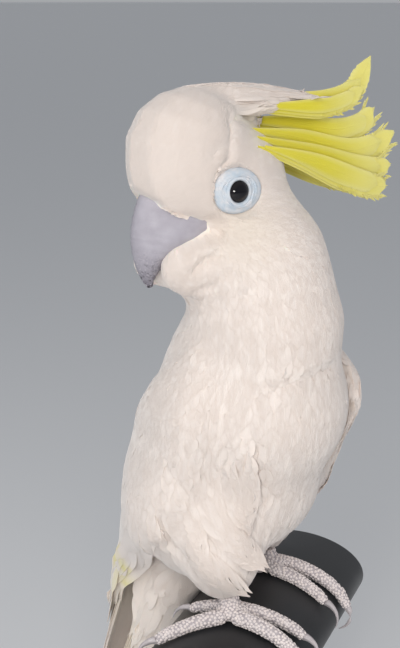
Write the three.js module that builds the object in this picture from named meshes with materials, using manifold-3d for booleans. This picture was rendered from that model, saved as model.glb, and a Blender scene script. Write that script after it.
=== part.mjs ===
// A life-size cockatoo with a white coat and a yellow crest, gripping a short bar on a display stand.
// Millimetres, +Z up. The origin is the middle of the underside of the stand's base. The breast faces -Y,
// the bird's left is +X, and its head is turned far round to its own right.
import * as THREE from "three";
import { mergeVertices } from "three/addons/utils/BufferGeometryUtils.js";
import Module from "manifold-3d";

const wasm = await Module();
wasm.setup();

// ---- Driving dimensions ----
const GAP = 0.3; // clearance kept between neighbouring solids

const BASE_RADIUS = 98;
const BASE_THICKNESS = 12;
const BASE_EDGE = 2.5; // rounding of the base's top edge
const PERCH_HEIGHT = 194; // top of the bar above the ground
const PERCH_HALF_DEPTH = 38; // the bar is an oval, wider from front to back than it is high
const PERCH_HALF_HEIGHT = 21;
const PERCH_LENGTH = 168;
const PERCH_TURN = 20; // degrees that the bar is turned from the bird's own side-to-side line
const ROD_RADIUS = 4.5;
const ROD_SPACING = 132;
const BIRD_SHIFT = [0, -14]; // the bar's middle, measured from the base's middle

const FOOT_SPACING = 57;
const HEAD_CENTRE = [-16.3, 12.2, 219.9]; // above the bar's top
const HEAD_FACING = 167; // degrees anticlockwise from +X, so the head looks over the right wing
const EYE = { forward: 5, up: -7.3, side: 25.8, turn: 10, radius: 7, sink: 4.7 };
const EYE_RING = { inner: 5.4, outer: 11.5, depth: 3.6 };

const TAIL_LENGTH = 172;
const TAIL_SLOPE = 0.4; // millimetres back for each millimetre down
const TAIL_TOP = { back: 58, up: 2 };

const RING_POINTS = 24; // points round each section of the body
const WHITE = 0xf2ede8;
const YELLOW = 0xe8d84a;

const degrees = THREE.MathUtils.degToRad;
const point = (x, y, z) => new THREE.Vector3(x, y, z);

// ---- Materials ----
const paint = (color, roughness, metalness = 0) =>
  new THREE.MeshStandardMaterial({ color, roughness, metalness });
const MATERIALS = {
  plumage: paint(WHITE, 0.85),
  flightFeather: paint(0xf4efe2, 0.7),
  crest: paint(YELLOW, 0.7),
  bill: paint(0x9d98a3, 0.5),
  eye: paint(0x14131c, 0.05),
  eyeRing: paint(0xcfe0ea, 0.6),
  foot: paint(0xc9c3c4, 0.75),
  claw: paint(0x4b474c, 0.4),
  bar: paint(0x1c1d20, 0.45),
  rod: paint(0x8d9094, 0.3, 1),
  base: paint(0x5a3d28, 0.5),
};

// ---- Closed surfaces from rings, and joins and cuts ----

// Six times the volume that an indexed surface encloses, positive where its faces point out.
function signedVolume(geometry) {
  const at = geometry.getAttribute("position");
  const index = geometry.index.array;
  const [a, b, c] = [point(), point(), point()];
  let sum = 0;
  for (let i = 0; i < index.length; i += 3) {
    a.fromBufferAttribute(at, index[i]);
    b.fromBufferAttribute(at, index[i + 1]);
    c.fromBufferAttribute(at, index[i + 2]);
    sum += a.dot(b.cross(c));
  }
  return sum;
}

// A closed surface through rings of as many points each, with a fan over each end.
function loft(rings) {
  const around = rings[0].length;
  const middle = (ring) =>
    ring.reduce((sum, p) => sum.add(p), point(0, 0, 0)).divideScalar(around);
  const points = [...rings.flat(), middle(rings[0]), middle(rings.at(-1))];
  const faces = [];
  for (let i = 0; i + 1 < rings.length; i++)
    for (let j = 0; j < around; j++) {
      const k = (j + 1) % around;
      const [a, b] = [i * around + j, i * around + k];
      const [c, d] = [a + around, b + around];
      faces.push(a, b, d, a, d, c);
    }
  const [first, last] = [rings.length * around, rings.length * around + 1];
  const top = (rings.length - 1) * around;
  for (let j = 0; j < around; j++) {
    const k = (j + 1) % around;
    faces.push(first, k, j, last, top + j, top + k);
  }
  const geometry = new THREE.BufferGeometry().setFromPoints(points);
  geometry.setIndex(faces);
  if (signedVolume(geometry) < 0) geometry.setIndex(faces.reverse());
  return geometry;
}

function solidOf(geometry) {
  const bare = geometry.clone();
  for (const name of Object.keys(bare.attributes))
    if (name !== "position") bare.deleteAttribute(name);
  const merged = mergeVertices(bare, 1e-4);
  return new wasm.Manifold(
    new wasm.Mesh({
      numProp: 3,
      vertProperties: new Float32Array(merged.getAttribute("position").array),
      triVerts: new Uint32Array(merged.index.array),
    }),
  );
}

function geometryOf(solid) {
  const mesh = solid.getMesh();
  const geometry = new THREE.BufferGeometry();
  geometry.setAttribute("position", new THREE.BufferAttribute(mesh.vertProperties, 3));
  geometry.setIndex(new THREE.BufferAttribute(mesh.triVerts, 1));
  return geometry;
}

// The biggest piece of a geometry after other geometries are cut from it.
function cut(geometry, ...tools) {
  let solid = solidOf(geometry);
  for (const tool of tools) solid = solid.subtract(solidOf(tool));
  const pieces = solid.decompose();
  pieces.sort((a, b) => b.volume() - a.volume());
  return geometryOf(pieces[0]);
}

const join = (...geometries) =>
  geometryOf(geometries.map(solidOf).reduce((a, b) => a.add(b)));

// ---- The head's own frame: forward along the face, side to the bird's left, up ----
const FORWARD = point(Math.cos(degrees(HEAD_FACING)), Math.sin(degrees(HEAD_FACING)), 0);
const SIDE = point(-FORWARD.y, FORWARD.x, 0);
const UP = point(0, 0, 1);

const fromHead = (forward, side, up) =>
  point(...HEAD_CENTRE)
    .addScaledVector(FORWARD, forward)
    .addScaledVector(SIDE, side)
    .addScaledVector(UP, up);

// ---- Masses of plumage: blended ellipsoids, each with a centre and three radii ----

// Distance from a point to an ellipsoid at the origin, negative inside it and nearly true near the surface.
function toEllipsoid(p, [rx, ry, rz]) {
  const scaled = Math.hypot(p.x / rx, p.y / ry, p.z / rz);
  const slope = Math.hypot(p.x / rx ** 2, p.y / ry ** 2, p.z / rz ** 2);
  return slope < 1e-9 ? -Math.min(rx, ry, rz) : (scaled * (scaled - 1)) / slope;
}

// The lesser of two distances, rounded over within a reach of each other.
function blend(a, b, reach) {
  const h = Math.max(reach - Math.abs(a - b), 0) / reach;
  return Math.min(a, b) - (h * h * reach) / 4;
}

const inBody =
  ([x, y, z], radii) =>
  (p) =>
    toEllipsoid(point(p.x - x, p.y - y, p.z - z), radii);

function inHead([forward, side, up], radii) {
  const centre = fromHead(forward, side, up);
  return (p) => {
    const d = p.clone().sub(centre);
    return toEllipsoid(point(d.dot(FORWARD), d.dot(SIDE), d.z), radii);
  };
}

const mirrored = (make) => [-1, 1].map(make);
const TRUNK_MASSES = [
  inBody([0, -2, 104], [47, 45, 44]), // breast
  inBody([0, 15, 104], [42, 34, 52]), // mantle
  inBody([0, 14, 64], [48, 45, 42]), // belly
  inBody([0, 40, 33], [33, 26, 27]), // vent and rump
  inBody([0, 60, 0], [23, 11, 30]), // feathers under the root of the tail
  ...mirrored((s) => inBody([29 * s, 17, 46], [20.5, 27, 31])), // flanks
  inBody([0, -7, 146], [37.5, 38, 40]), // lower neck
  inBody([-3, -2, 178], [33.5, 35, 31]), // upper neck
];
const HEAD_MASSES = [
  inHead([3, 0, -4], [41, 26, 28]), // skull
  inHead([15.5, 0, 10], [31, 24.5, 28.5]), // dome of the forehead
  inHead([6, 0, -11], [17.5, 17.5, 16]), // face in front of the eyes
  inHead([-13, 0, -22], [25, 26, 26]), // cheeks behind the eyes
  inHead([11, 0, -46], [15, 12, 12.5]), // chin
  ...mirrored((s) => inHead([13, 11 * s, -39], [17, 12.5, 15.5])), // feathers that fold over the bill
  ...mirrored((s) => inHead([EYE.forward, 15.5 * s, EYE.up], [14, 9, 13])), // round the eyes
];
const THIGH_MASSES = mirrored((s) => inBody([26 * s, 6 + 9 * s, 40], [23, 24, 26]));
const tailLine = (z) => TAIL_TOP.back + TAIL_SLOPE * (TAIL_TOP.up - z);
const TAIL_BED = (p) =>
  toEllipsoid(point(p.x, p.y - tailLine(p.z), p.z + 32), [25, 11, 92]);

const [BODY_REACH, FACE_REACH] = [11, 6]; // how far masses flow into each other
const form =
  (masses, reach = BODY_REACH) =>
  (p) =>
    masses.map((mass) => mass(p)).reduce((a, b) => blend(a, b, reach));
const COAT = form([form(TRUNK_MASSES), form(HEAD_MASSES, FACE_REACH)]);
const UNDER_WING = form([...TRUNK_MASSES, ...THIGH_MASSES, TAIL_BED]);

// How far a form reaches from a point, in a direction, plus a lift off its surface.
function reachOf(surface, origin, direction, lift = 0) {
  const probe = point();
  const at = (t) => surface(probe.copy(origin).addScaledVector(direction, t));
  const [FAR, STEP, HALVINGS] = [110, 3, 14];
  let outside = FAR;
  while (outside > STEP && at(outside - STEP) > 0) outside -= STEP;
  let inside = outside - STEP;
  for (let i = 0; i < HALVINGS; i++) {
    const half = (inside + outside) / 2;
    if (at(half) > 0) outside = half;
    else inside = half;
  }
  return outside + lift;
}

// ---- The body: rings cast from a line up its middle ----
const MIDLINE = [
  // height, x, y
  [-140, 0, 111],
  [0, 0, 54],
  [20, 0, 36],
  [60, 0, 15],
  [104, 0, 3],
  [150, 0, -5],
  [182, -3, -1],
  [204, -11, 7],
  [222, -15, 12],
  [300, -15, 12],
];
const LOWEST_RING = 20;
const HIGHEST_RING = 222;
const CAP_ELEVATIONS = [17, 34, 50, 66, 82];

function middleAt(z) {
  const i = Math.max(1, MIDLINE.findIndex((row) => row[0] >= z));
  const [below, above] = [MIDLINE[i - 1], MIDLINE[i]];
  const share = (z - below[0]) / (above[0] - below[0]);
  const between = (k) => THREE.MathUtils.lerp(below[k], above[k], share);
  return point(between(1), between(2), z);
}

function ringAt(z, elevation, lift) {
  const origin = middleAt(z);
  return Array.from({ length: RING_POINTS }, (_, j) => {
    const turn = (j / RING_POINTS) * 2 * Math.PI;
    const flat = Math.cos(degrees(elevation));
    const direction = point(flat * Math.cos(turn), flat * Math.sin(turn), Math.sin(degrees(elevation)));
    return origin.clone().addScaledVector(direction, reachOf(COAT, origin, direction, lift));
  });
}

// The stretch of the body between two heights, rounded off where it reaches the bottom or the top.
function bodyStretch(low, high, count, lift = 0) {
  const rings = [];
  if (low <= LOWEST_RING)
    for (const e of [...CAP_ELEVATIONS].reverse()) rings.push(ringAt(LOWEST_RING, -e, lift));
  const bottom = low <= LOWEST_RING ? LOWEST_RING : low + GAP / 2;
  const top = high >= HIGHEST_RING ? HIGHEST_RING : high - GAP / 2;
  for (let i = 0; i <= count; i++) rings.push(ringAt(bottom + ((top - bottom) * i) / count, 0, lift));
  if (high >= HIGHEST_RING)
    for (const e of CAP_ELEVATIONS) rings.push(ringAt(HIGHEST_RING, e, lift));
  return loft(rings);
}

const BELLY_TOP = 70;
const BREAST_TOP = 124;
const NECK_TOP = 160;

// ---- Blades: feathers, toes and claws drawn out along a curve ----

// A closed tapering bar along a curve. The shape gives [half width, half thickness] from 0 at the root to 1
// at the tip, and flatWay the direction of the thickness.
function blade(curve, steps, shape, flatWay, corners) {
  const rings = [];
  for (let i = 0; i <= steps; i++) {
    const share = i / steps;
    const centre = curve.getPoint(share);
    const along = curve.getTangent(share);
    const thick = flatWay.clone().addScaledVector(along, -flatWay.dot(along)).normalize();
    const wide = along.clone().cross(thick);
    const [w, t] = shape(share);
    rings.push(
      corners.map(([a, b]) => centre.clone().addScaledVector(wide, a * w).addScaledVector(thick, b * t)),
    );
  }
  return loft(rings);
}

const VANE_EDGE = 0.3; // share of the full thickness left at a vane's edge
const VANE_CORNERS = [
  [1, VANE_EDGE],
  [0, 1],
  [-1, VANE_EDGE],
  [-1, -VANE_EDGE],
  [0, -1],
  [1, -VANE_EDGE],
];
const roundCorners = (count) =>
  Array.from({ length: count }, (_, i) => {
    const turn = (i / count) * 2 * Math.PI;
    return [Math.cos(turn), Math.sin(turn)];
  });

// Width of a feather along its length, as a share of its widest: narrow at the root and round at the tip.
function vaneWidth(share, root = 0.35, tipStart = 0.82) {
  const swell = root + (1 - root) * Math.sin(Math.min(share / 0.6, 1) * (Math.PI / 2));
  if (share <= tipStart) return swell;
  const over = (share - tipStart) / (1 - tipStart);
  return swell * Math.sqrt(Math.max(1 - over * over, 0.03));
}

// ---- Crest: curved vanes that stand on edge behind a ridge of long white feathers ----
const CREST_THICKNESS = 0.85;
const CREST_STEPS = 7;
const CREST = [
  // name, half width, path as [forward, side, up] in the head's frame
  ["crest_front", 5.6, [-22, 0, 30], [-44, 0, 27.6], [-66, 0, 26.6], [-84, 0, 32.5], [-95, 0, 49]],
  ["crest_second", 4.4, [-17, 3, 25], [-44, 3.4, 22.4], [-64, 3.4, 21.5], [-80, 3, 24], [-92, 2.4, 31]],
  ["crest_third", 5.2, [-13, -3, 20], [-46, -3, 17.4], [-73, -2, 12.6], [-91, -2, 15], [-101, -2, 23]],
  ["crest_left_high", 5.8, [-11, 9, 18], [-46, 4.6, 10.6], [-77, 1.6, 2.5], [-97, 1, 3.5], [-113, 0.6, 10]],
  ["crest_left_middle", 5.4, [-12, 13, 15], [-47, 9, 4.6], [-76, 5.6, -5], [-95, 4.4, -10], [-107, 4, -11.5]],
  ["crest_left_low", 5.4, [-14, 17, 11], [-45, 13, -0.5], [-70, 9.6, -11], [-90, 8, -18], [-104, 7, -20]],
  ["crest_right_high", 5.4, [-12, -11, 17], [-46, -7.6, 8.6], [-75, -5.4, 0], [-94, -4.6, -2], [-108, -4, 2]],
  ["crest_right_low", 5.2, [-14, -16, 12], [-45, -12, 0.6], [-70, -9, -9], [-88, -8, -15], [-101, -7, -17]],
];
const CROWN_PATH = [[18, 0, 31], [-13, 0, 31.4], [-51, 0, 30.4]];
const CROWN_HALF = { height: 8.6, width: 7 };
const CROWN_STEPS = 7;

const headCurve = (path) => new THREE.CatmullRomCurve3(path.map((p) => fromHead(...p)));

function crestFeather(halfWidth, path) {
  const shape = (share) => [halfWidth * vaneWidth(share), CREST_THICKNESS];
  return blade(headCurve(path), CREST_STEPS, shape, SIDE, VANE_CORNERS);
}

// The long white feathers that rise off the crown and lie over the roots of the crest.
function crown() {
  const { height, width } = CROWN_HALF;
  const taper = (share) => Math.sqrt(Math.max(1 - share ** 3, 0.02));
  const shape = (share) => [height * taper(share), width * taper(share)];
  return blade(headCurve(CROWN_PATH), CROWN_STEPS, shape, SIDE, roundCorners(10));
}

// ---- Bill: sections that run from the ridge in front to the cutting edges behind ----
const UPPER_BILL = [
  // [forward, up] at the ridge, [forward, up] at the back, half width
  [[34, -3], [-8, -12], 11],
  [[40.2, -9], [-8, -18], 14.6],
  [[43.4, -16.5], [-6, -26], 16],
  [[45, -24], [5, -32], 15],
  [[45.2, -31], [19, -36.5], 11.6],
  [[44.2, -38], [28.5, -40.5], 8],
  [[42.4, -44], [32.4, -44.5], 5.4],
  [[40, -48.6], [34.4, -48.2], 3.2],
  [[37.4, -52], [35, -51.4], 1.2],
];
const LOWER_BILL = [
  [[14, -38], [2, -49], 7.5],
  [[20, -38], [10, -50], 8.6],
  [[25.5, -39.2], [18, -49.6], 7.4],
  [[29.2, -41.4], [24, -48.6], 5.2],
  [[30.6, -44], [28, -47.4], 2.6],
];
const BILL_CORNERS = 13;
const RIDGE_SHARPNESS = 0.3; // how far the sides flatten towards the ridge

function billPart(sections, grow = 0) {
  const rings = sections.map(([front, back, half]) => {
    const [ridge, edge] = [fromHead(front[0], 0, front[1]), fromHead(back[0], 0, back[1])];
    const centre = ridge.clone().lerp(edge, 0.5);
    const reach = ridge.clone().sub(centre);
    const ahead = reach.clone().normalize();
    return roundCorners(BILL_CORNERS).map(([a, b]) => {
      const narrow = 1 - RIDGE_SHARPNESS * Math.max(a, 0) ** 2;
      return centre
        .clone()
        .addScaledVector(reach, a)
        .addScaledVector(ahead, a * grow)
        .addScaledVector(SIDE, b * narrow * (half + grow));
    });
  });
  return loft(rings);
}

// ---- Eyes, in sockets, each with a bare ring round it ----
function placeEye(geometry, side) {
  const outward = SIDE.clone()
    .multiplyScalar(side * Math.cos(degrees(EYE.turn)))
    .addScaledVector(FORWARD, Math.sin(degrees(EYE.turn)));
  const turn = new THREE.Quaternion().setFromUnitVectors(UP, outward);
  const centre = fromHead(EYE.forward, side * EYE.side, EYE.up);
  return geometry.clone().applyQuaternion(turn).translate(centre.x, centre.y, centre.z);
}

// The seen part of the eyeball, cut off flat behind.
function eye() {
  const open = Math.acos((EYE.sink - EYE_RING.depth) / EYE.radius);
  const arc = Array.from({ length: 6 }, (_, i) => {
    const turn = (open * (5 - i)) / 5;
    return new THREE.Vector2(EYE.radius * Math.sin(turn), EYE.radius * Math.cos(turn) - EYE.sink);
  });
  return new THREE.LatheGeometry([new THREE.Vector2(0, arc[0].y), ...arc], 18).rotateX(Math.PI / 2);
}

function eyeRing() {
  const { inner, outer, depth } = EYE_RING;
  const profile = [
    [EYE.radius + GAP, -depth],
    [outer, -depth],
    [outer, -2.2],
    [inner + 2.6, 0.5],
    [inner + 0.8, 1.1],
    [inner, 0.6],
    [EYE.radius + GAP, -depth],
  ].map(([r, z]) => new THREE.Vector2(r, z));
  return new THREE.LatheGeometry(profile, 22).rotateX(Math.PI / 2);
}

// The room that an eye and its ring take out of the head.
function eyeSocket() {
  const [radius, floor, open] = [EYE_RING.outer + GAP, EYE_RING.depth + GAP, 12];
  const well = new THREE.CylinderGeometry(radius, radius, open + floor, 22).rotateX(Math.PI / 2);
  return well.translate(0, 0, (open - floor) / 2);
}

// ---- Wings: two shells laid over each other on the side of the body ----
const WING_LAYERS = [
  // name, top, bottom, lift off the body, thickness, then the front edge and the back edge in degrees at the
  // top, middle and bottom
  ["primaries", 66, -106, 1.4, 2.6, [-4, 14, 26], [72, 82, 66]],
  ["upper", 141, -30, 5.4, 4.2, [-22, -40, 22], [20, 82, 82]],
];
const WING_STEPS = 10;
const WING_POINTS = 6;
const WING_SWELL = 0.2; // share of a layer's length over which it rises to its full lift and thickness
const WING_DROP = 0.15; // how much lower a layer's back edge lies than its front edge, for each degree
// How a wing is held: degrees by which its front edge is tucked back, and extra thickness at the wrist.
const HELD_LOOSE = { tuck: 0, wrist: 12 };
const HELD_CLOSE = { tuck: 24, wrist: 5 };

// An edge angle by share, on a curve through three values.
const edgeAt = ([top, middle, bottom], share) =>
  new THREE.QuadraticBezierCurve(
    new THREE.Vector2(0, top),
    new THREE.Vector2(0, 2 * middle - (top + bottom) / 2),
    new THREE.Vector2(0, bottom),
  ).getPoint(share).y;

const roundOff = (share, least) => Math.sqrt(Math.max(1 - Math.max(share, 0) ** 2, least));

function wingLayer(side, [, top, bottom, lift, thickness, front, back], grow = 0) {
  const held = side > 0 ? HELD_LOOSE : HELD_CLOSE;
  const rings = [];
  for (let i = 0; i <= WING_STEPS; i++) {
    const share = i / WING_STEPS;
    const swell = THREE.MathUtils.smoothstep(share, -0.05, WING_SWELL);
    const width = Math.min(roundOff(1 - share / 0.15, 0.1), roundOff((share - 0.8) / 0.2, 0.03));
    const [from, to] = [edgeAt(front, share) + held.tuck, edgeAt(back, share)];
    const [middle, half] = [(from + to) / 2, ((to - from) / 2) * width + grow];
    const wrist = held.wrist * swell * (1 - share);
    const [inner, outer] = [[], []];
    for (let j = 0; j <= WING_POINTS; j++) {
      const across = (2 * j) / WING_POINTS - 1;
      const turn = degrees(middle + half * across);
      const z = THREE.MathUtils.lerp(top, bottom, share) - WING_DROP * swell * half * across;
      const origin = middleAt(z);
      const direction = point(side * Math.cos(turn), Math.sin(turn), 0);
      const near = reachOf(UNDER_WING, origin, direction, GAP + (lift - GAP) * swell - grow);
      const full = (thickness + wrist * Math.max(-across, 0)) * Math.max(swell, 0.3);
      const far = near + full * roundOff(Math.abs(across) ** 3, 0.1) + 2 * grow;
      inner.push(origin.clone().addScaledVector(direction, near));
      outer.unshift(origin.clone().addScaledVector(direction, far));
    }
    rings.push([...inner, ...outer]);
  }
  return loft(rings);
}

// ---- Tail: flat feathers stacked and fanned a little ----
const TAIL_FEATHERS = 6;
const TAIL_HALF_WIDTH = 10.5;
const TAIL_THICKNESS = 0.7;
const TAIL_SPREAD = 3.2; // millimetres between neighbouring shafts at the root
const TAIL_FAN = 0.7; // degrees between neighbouring shafts

function tailFeather(index) {
  const offset = index - (TAIL_FEATHERS - 1) / 2;
  const layer = Math.abs(offset) * 2 - (offset > 0 ? 1 : 0);
  const down = point(0, TAIL_SLOPE, -1).normalize();
  const out = point(0, -1, -TAIL_SLOPE).normalize();
  const length = TAIL_LENGTH - 3.2 * Math.abs(offset);
  const root = point(offset * TAIL_SPREAD, TAIL_TOP.back, TAIL_TOP.up).addScaledVector(
    out,
    layer * (2 * TAIL_THICKNESS + GAP) - 4,
  );
  const fan = degrees(offset * TAIL_FAN);
  const tip = root
    .clone()
    .addScaledVector(down, length * Math.cos(fan))
    .addScaledVector(point(1, 0, 0), length * Math.sin(fan));
  const middle = root.clone().lerp(tip, 0.55).addScaledVector(out, 1.5);
  const curve = new THREE.QuadraticBezierCurve3(root, middle, tip);
  const shape = (share) => [TAIL_HALF_WIDTH * vaneWidth(share, 0.5, 0.9), TAIL_THICKNESS];
  return blade(curve, 7, shape, out, VANE_CORNERS);
}

// ---- The feathers that hang below the vent, in front of the tail ----
const UNDERTAIL_RINGS = [
  // back, up, half width, half depth
  [45, 17, 17, 10],
  [46, 5, 23, 13.5],
  [48, -7, 24.5, 15.5],
  [52.5, -19, 24, 15],
  [58.5, -31, 21, 12.5],
  [66.5, -43, 16.5, 9],
  [74, -53, 10, 5],
];
const UNDERTAIL_CORNERS = 16;
const TAIL_FRONT = 7; // how far in front of the tail's line its feathers and their gap reach

function undertail() {
  const rings = UNDERTAIL_RINGS.map(([back, up, across, foreAft]) =>
    roundCorners(UNDERTAIL_CORNERS).map(([a, b]) => point(a * across, back + b * foreAft, up)),
  );
  return loft(rings);
}

// The room behind the tail's front.
function tailRoom() {
  const [width, depth, length] = [80, 50, 2 * TAIL_LENGTH];
  return new THREE.BoxGeometry(width, depth, length)
    .translate(0, depth / 2 - TAIL_FRONT, 0)
    .rotateX(Math.atan(TAIL_SLOPE))
    .translate(0, TAIL_TOP.back, TAIL_TOP.up);
}

// ---- Legs: feathered thighs, and bare feet that grip the bar ----
const footPlace = (side) => {
  const turn = degrees(PERCH_TURN);
  return point(side * Math.cos(turn), side * Math.sin(turn), 0).multiplyScalar(FOOT_SPACING / 2);
};
const TARSUS = { radius: 4.8, top: 12, lean: 2.5 };
const PALM = { length: 8.5, width: 7.6, height: 4.8 };

const palm = (side, grow = 0) => {
  const place = footPlace(side);
  return new THREE.SphereGeometry(1, 12, 6)
    .scale(PALM.width + grow, PALM.length + grow, PALM.height + grow)
    .rotateZ(degrees(PERCH_TURN))
    .translate(place.x, place.y, PALM.height + GAP);
};

function foot(side) {
  const sole = footPlace(side).setZ(PALM.height);
  const heel = point(sole.x, sole.y + TARSUS.lean, TARSUS.top);
  const shape = () => [TARSUS.radius, TARSUS.radius];
  const bone = blade(new THREE.LineCurve3(sole, heel), 2, shape, point(1, 0, 0), roundCorners(8));
  return cut(join(bone, palm(side)), perchBar(GAP));
}

const THIGH_RINGS = [
  // share of the way down, radius across, radius fore and aft
  [0, 13, 15],
  [0.2, 21, 23],
  [0.45, 23.5, 25.5],
  [0.7, 20.5, 21.5],
  [0.86, 15.5, 15],
  [1, 9, 8.5],
];
const THIGH_TOP = { side: 28, back: 13, up: 68 };
const THIGH_FOOT = { back: 4, up: TARSUS.top + 2 };

function thigh(side) {
  const place = footPlace(side);
  const top = point(side * THIGH_TOP.side, THIGH_TOP.back + place.y * 0.7, THIGH_TOP.up);
  const bottom = point(place.x * 0.98, place.y + THIGH_FOOT.back, THIGH_FOOT.up);
  const rings = THIGH_RINGS.map(([share, across, foreAft]) => {
    const centre = top.clone().lerp(bottom, share);
    centre.x = side * Math.max(Math.abs(centre.x), across + GAP / 2);
    return roundCorners(16).map(([a, b]) => point(centre.x + a * across, centre.y + b * foreAft, centre.z));
  });
  return loft(rings);
}

const TOES = [
  // name, splay in degrees from straight ahead, root beside the foot's middle, length, radius at the root
  ["inner_front", -9, -4.2, 34, 3.8],
  ["outer_front", 5, 4.1, 44, 4.1],
  ["outer_back", 142, 4.4, 36, 4],
  ["inner_back", 184, -4, 23, 3.6],
];
const TOE_ROOT = 3; // length at which a toe leaves the middle of the foot
const TOE_STEPS = 6;
const CLAW_LENGTH = 13;
const CLAW_STEPS = 4;

// A point above the bar's surface: along the bar, round it from the top in millimetres of arc, and off it.
function onBar(along, arc, off) {
  const [STEP, depth, height] = [0.01, PERCH_HALF_DEPTH, PERCH_HALF_HEIGHT];
  let turn = 0;
  for (let walked = 0; walked < Math.abs(arc); turn += STEP)
    walked += STEP * Math.hypot(depth * Math.cos(turn), height * Math.sin(turn));
  turn *= Math.sign(arc);
  const out = point(0, -Math.sin(turn) / depth, Math.cos(turn) / height).normalize();
  return point(along, -depth * Math.sin(turn), height * Math.cos(turn) - height)
    .addScaledVector(out, off)
    .applyAxisAngle(UP, degrees(PERCH_TURN));
}

// The line of a toe or a claw from one length along it to another, off the bar by an amount for each share.
function toeCurve(side, splay, root, from, to, offAt) {
  const points = Array.from({ length: 9 }, (_, i) => {
    const length = from + ((to - from) * i) / 8;
    const turn = degrees(splay);
    const along = side * (FOOT_SPACING / 2 + root + length * Math.sin(turn));
    return onBar(along, length * Math.cos(turn), offAt(i / 8));
  });
  return new THREE.CatmullRomCurve3(points);
}

function toe(side, [, splay, root, length, radius], grow = 0) {
  const size = (share) => radius * (1 - 0.25 * share) * (1 + 0.06 * Math.sin(share * 6 * Math.PI));
  const curve = toeCurve(side, splay, root, TOE_ROOT, length, (share) => size(share) + 1.5 * GAP);
  const shape = (share) => [size(share) + grow, (size(share) + grow) * (share > 0.97 ? 0.8 : 1)];
  return blade(curve, TOE_STEPS, shape, UP, roundCorners(8));
}

function claw(side, [, splay, root, length, radius], grow = 0) {
  const size = (share) => radius * 0.6 * (1 - 0.88 * share) + grow;
  const off = (share) => radius * 0.8 + 3 * Math.sin(share * Math.PI * 0.9) - 1.6 * share;
  const curve = toeCurve(side, splay, root, length - 1, length + CLAW_LENGTH + grow, off);
  const shape = (share) => [size(share) * 0.85, size(share)];
  return blade(curve, CLAW_STEPS, shape, UP, roundCorners(6));
}

// ---- Stand ----
function perchBar(grow = 0) {
  const bevel = 1.6;
  const half = PERCH_LENGTH / 2;
  const profile = [
    [0, -half - grow],
    [1 - bevel / PERCH_HALF_HEIGHT, -half - grow],
    [1, -half + bevel],
    [1, half - bevel],
    [1 - bevel / PERCH_HALF_HEIGHT, half + grow],
    [0, half + grow],
  ].map(([r, y]) => new THREE.Vector2(r, y));
  return new THREE.LatheGeometry(profile, 28)
    .rotateZ(Math.PI / 2)
    .scale(1, PERCH_HALF_DEPTH + grow, PERCH_HALF_HEIGHT + grow)
    .rotateZ(degrees(PERCH_TURN))
    .translate(0, 0, -PERCH_HALF_HEIGHT);
}

function standBase() {
  const profile = [
    [0, 0],
    [BASE_RADIUS, 0],
    [BASE_RADIUS, BASE_THICKNESS - BASE_EDGE],
    [BASE_RADIUS - BASE_EDGE, BASE_THICKNESS],
    [0, BASE_THICKNESS],
  ].map(([r, y]) => new THREE.Vector2(r, y));
  return new THREE.LatheGeometry(profile, 36).rotateX(Math.PI / 2);
}

function standRod(side) {
  const low = BASE_THICKNESS - PERCH_HEIGHT + GAP;
  const high = -PERCH_HALF_HEIGHT;
  const turn = degrees(PERCH_TURN);
  const rod = new THREE.CylinderGeometry(ROD_RADIUS, ROD_RADIUS, high - low, 16)
    .rotateX(Math.PI / 2)
    .translate(0, 0, (high + low) / 2)
    .translate((side * ROD_SPACING * Math.cos(turn)) / 2, (side * ROD_SPACING * Math.sin(turn)) / 2, 0);
  return cut(rod, perchBar(GAP));
}

// ---- Assembly ----
const part = new THREE.Group();
const bird = new THREE.Group();
bird.position.set(...BIRD_SHIFT, PERCH_HEIGHT);
part.add(bird);

function add(group, name, geometry, material) {
  const mesh = new THREE.Mesh(geometry, material);
  mesh.name = name;
  group.add(mesh);
}

const sides = [
  ["left", 1],
  ["right", -1],
];
const envelope = bodyStretch(LOWEST_RING, HIGHEST_RING, 24, 2 * GAP);
const sockets = sides.map(([, s]) => placeEye(eyeSocket(), s));
const bills = [billPart(UPPER_BILL, GAP), billPart(LOWER_BILL, GAP)];
add(bird, "head", cut(bodyStretch(NECK_TOP, HIGHEST_RING, 10), ...sockets, ...bills), MATERIALS.plumage);
add(bird, "crown", cut(crown(), envelope), MATERIALS.plumage);
add(bird, "neck", bodyStretch(BREAST_TOP, NECK_TOP, 4), MATERIALS.plumage);
add(bird, "breast", bodyStretch(BELLY_TOP, BREAST_TOP, 6), MATERIALS.plumage);
add(bird, "belly", bodyStretch(LOWEST_RING, BELLY_TOP, 5), MATERIALS.plumage);
add(bird, "bill_upper", cut(billPart(UPPER_BILL), billPart(LOWER_BILL, GAP)), MATERIALS.bill);
add(bird, "bill_lower", billPart(LOWER_BILL), MATERIALS.bill);
for (const [name, s] of sides) {
  add(bird, `eye_${name}`, placeEye(eye(), s), MATERIALS.eye);
  add(bird, `eye_ring_${name}`, placeEye(eyeRing(), s), MATERIALS.eyeRing);
}

for (const [name, halfWidth, ...path] of CREST)
  add(bird, name, cut(crestFeather(halfWidth, path), envelope, crown()), MATERIALS.crest);

const wingRoom = sides.flatMap(([, s]) => WING_LAYERS.map((layer) => wingLayer(s, layer, GAP)));
const clawRoom = sides.flatMap(([, s]) => TOES.slice(2).map((kind) => claw(s, kind, 3 * GAP)));
const hanging = cut(undertail(), envelope, tailRoom(), perchBar(GAP), ...wingRoom, ...clawRoom);
add(bird, "undertail", hanging, MATERIALS.plumage);

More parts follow.
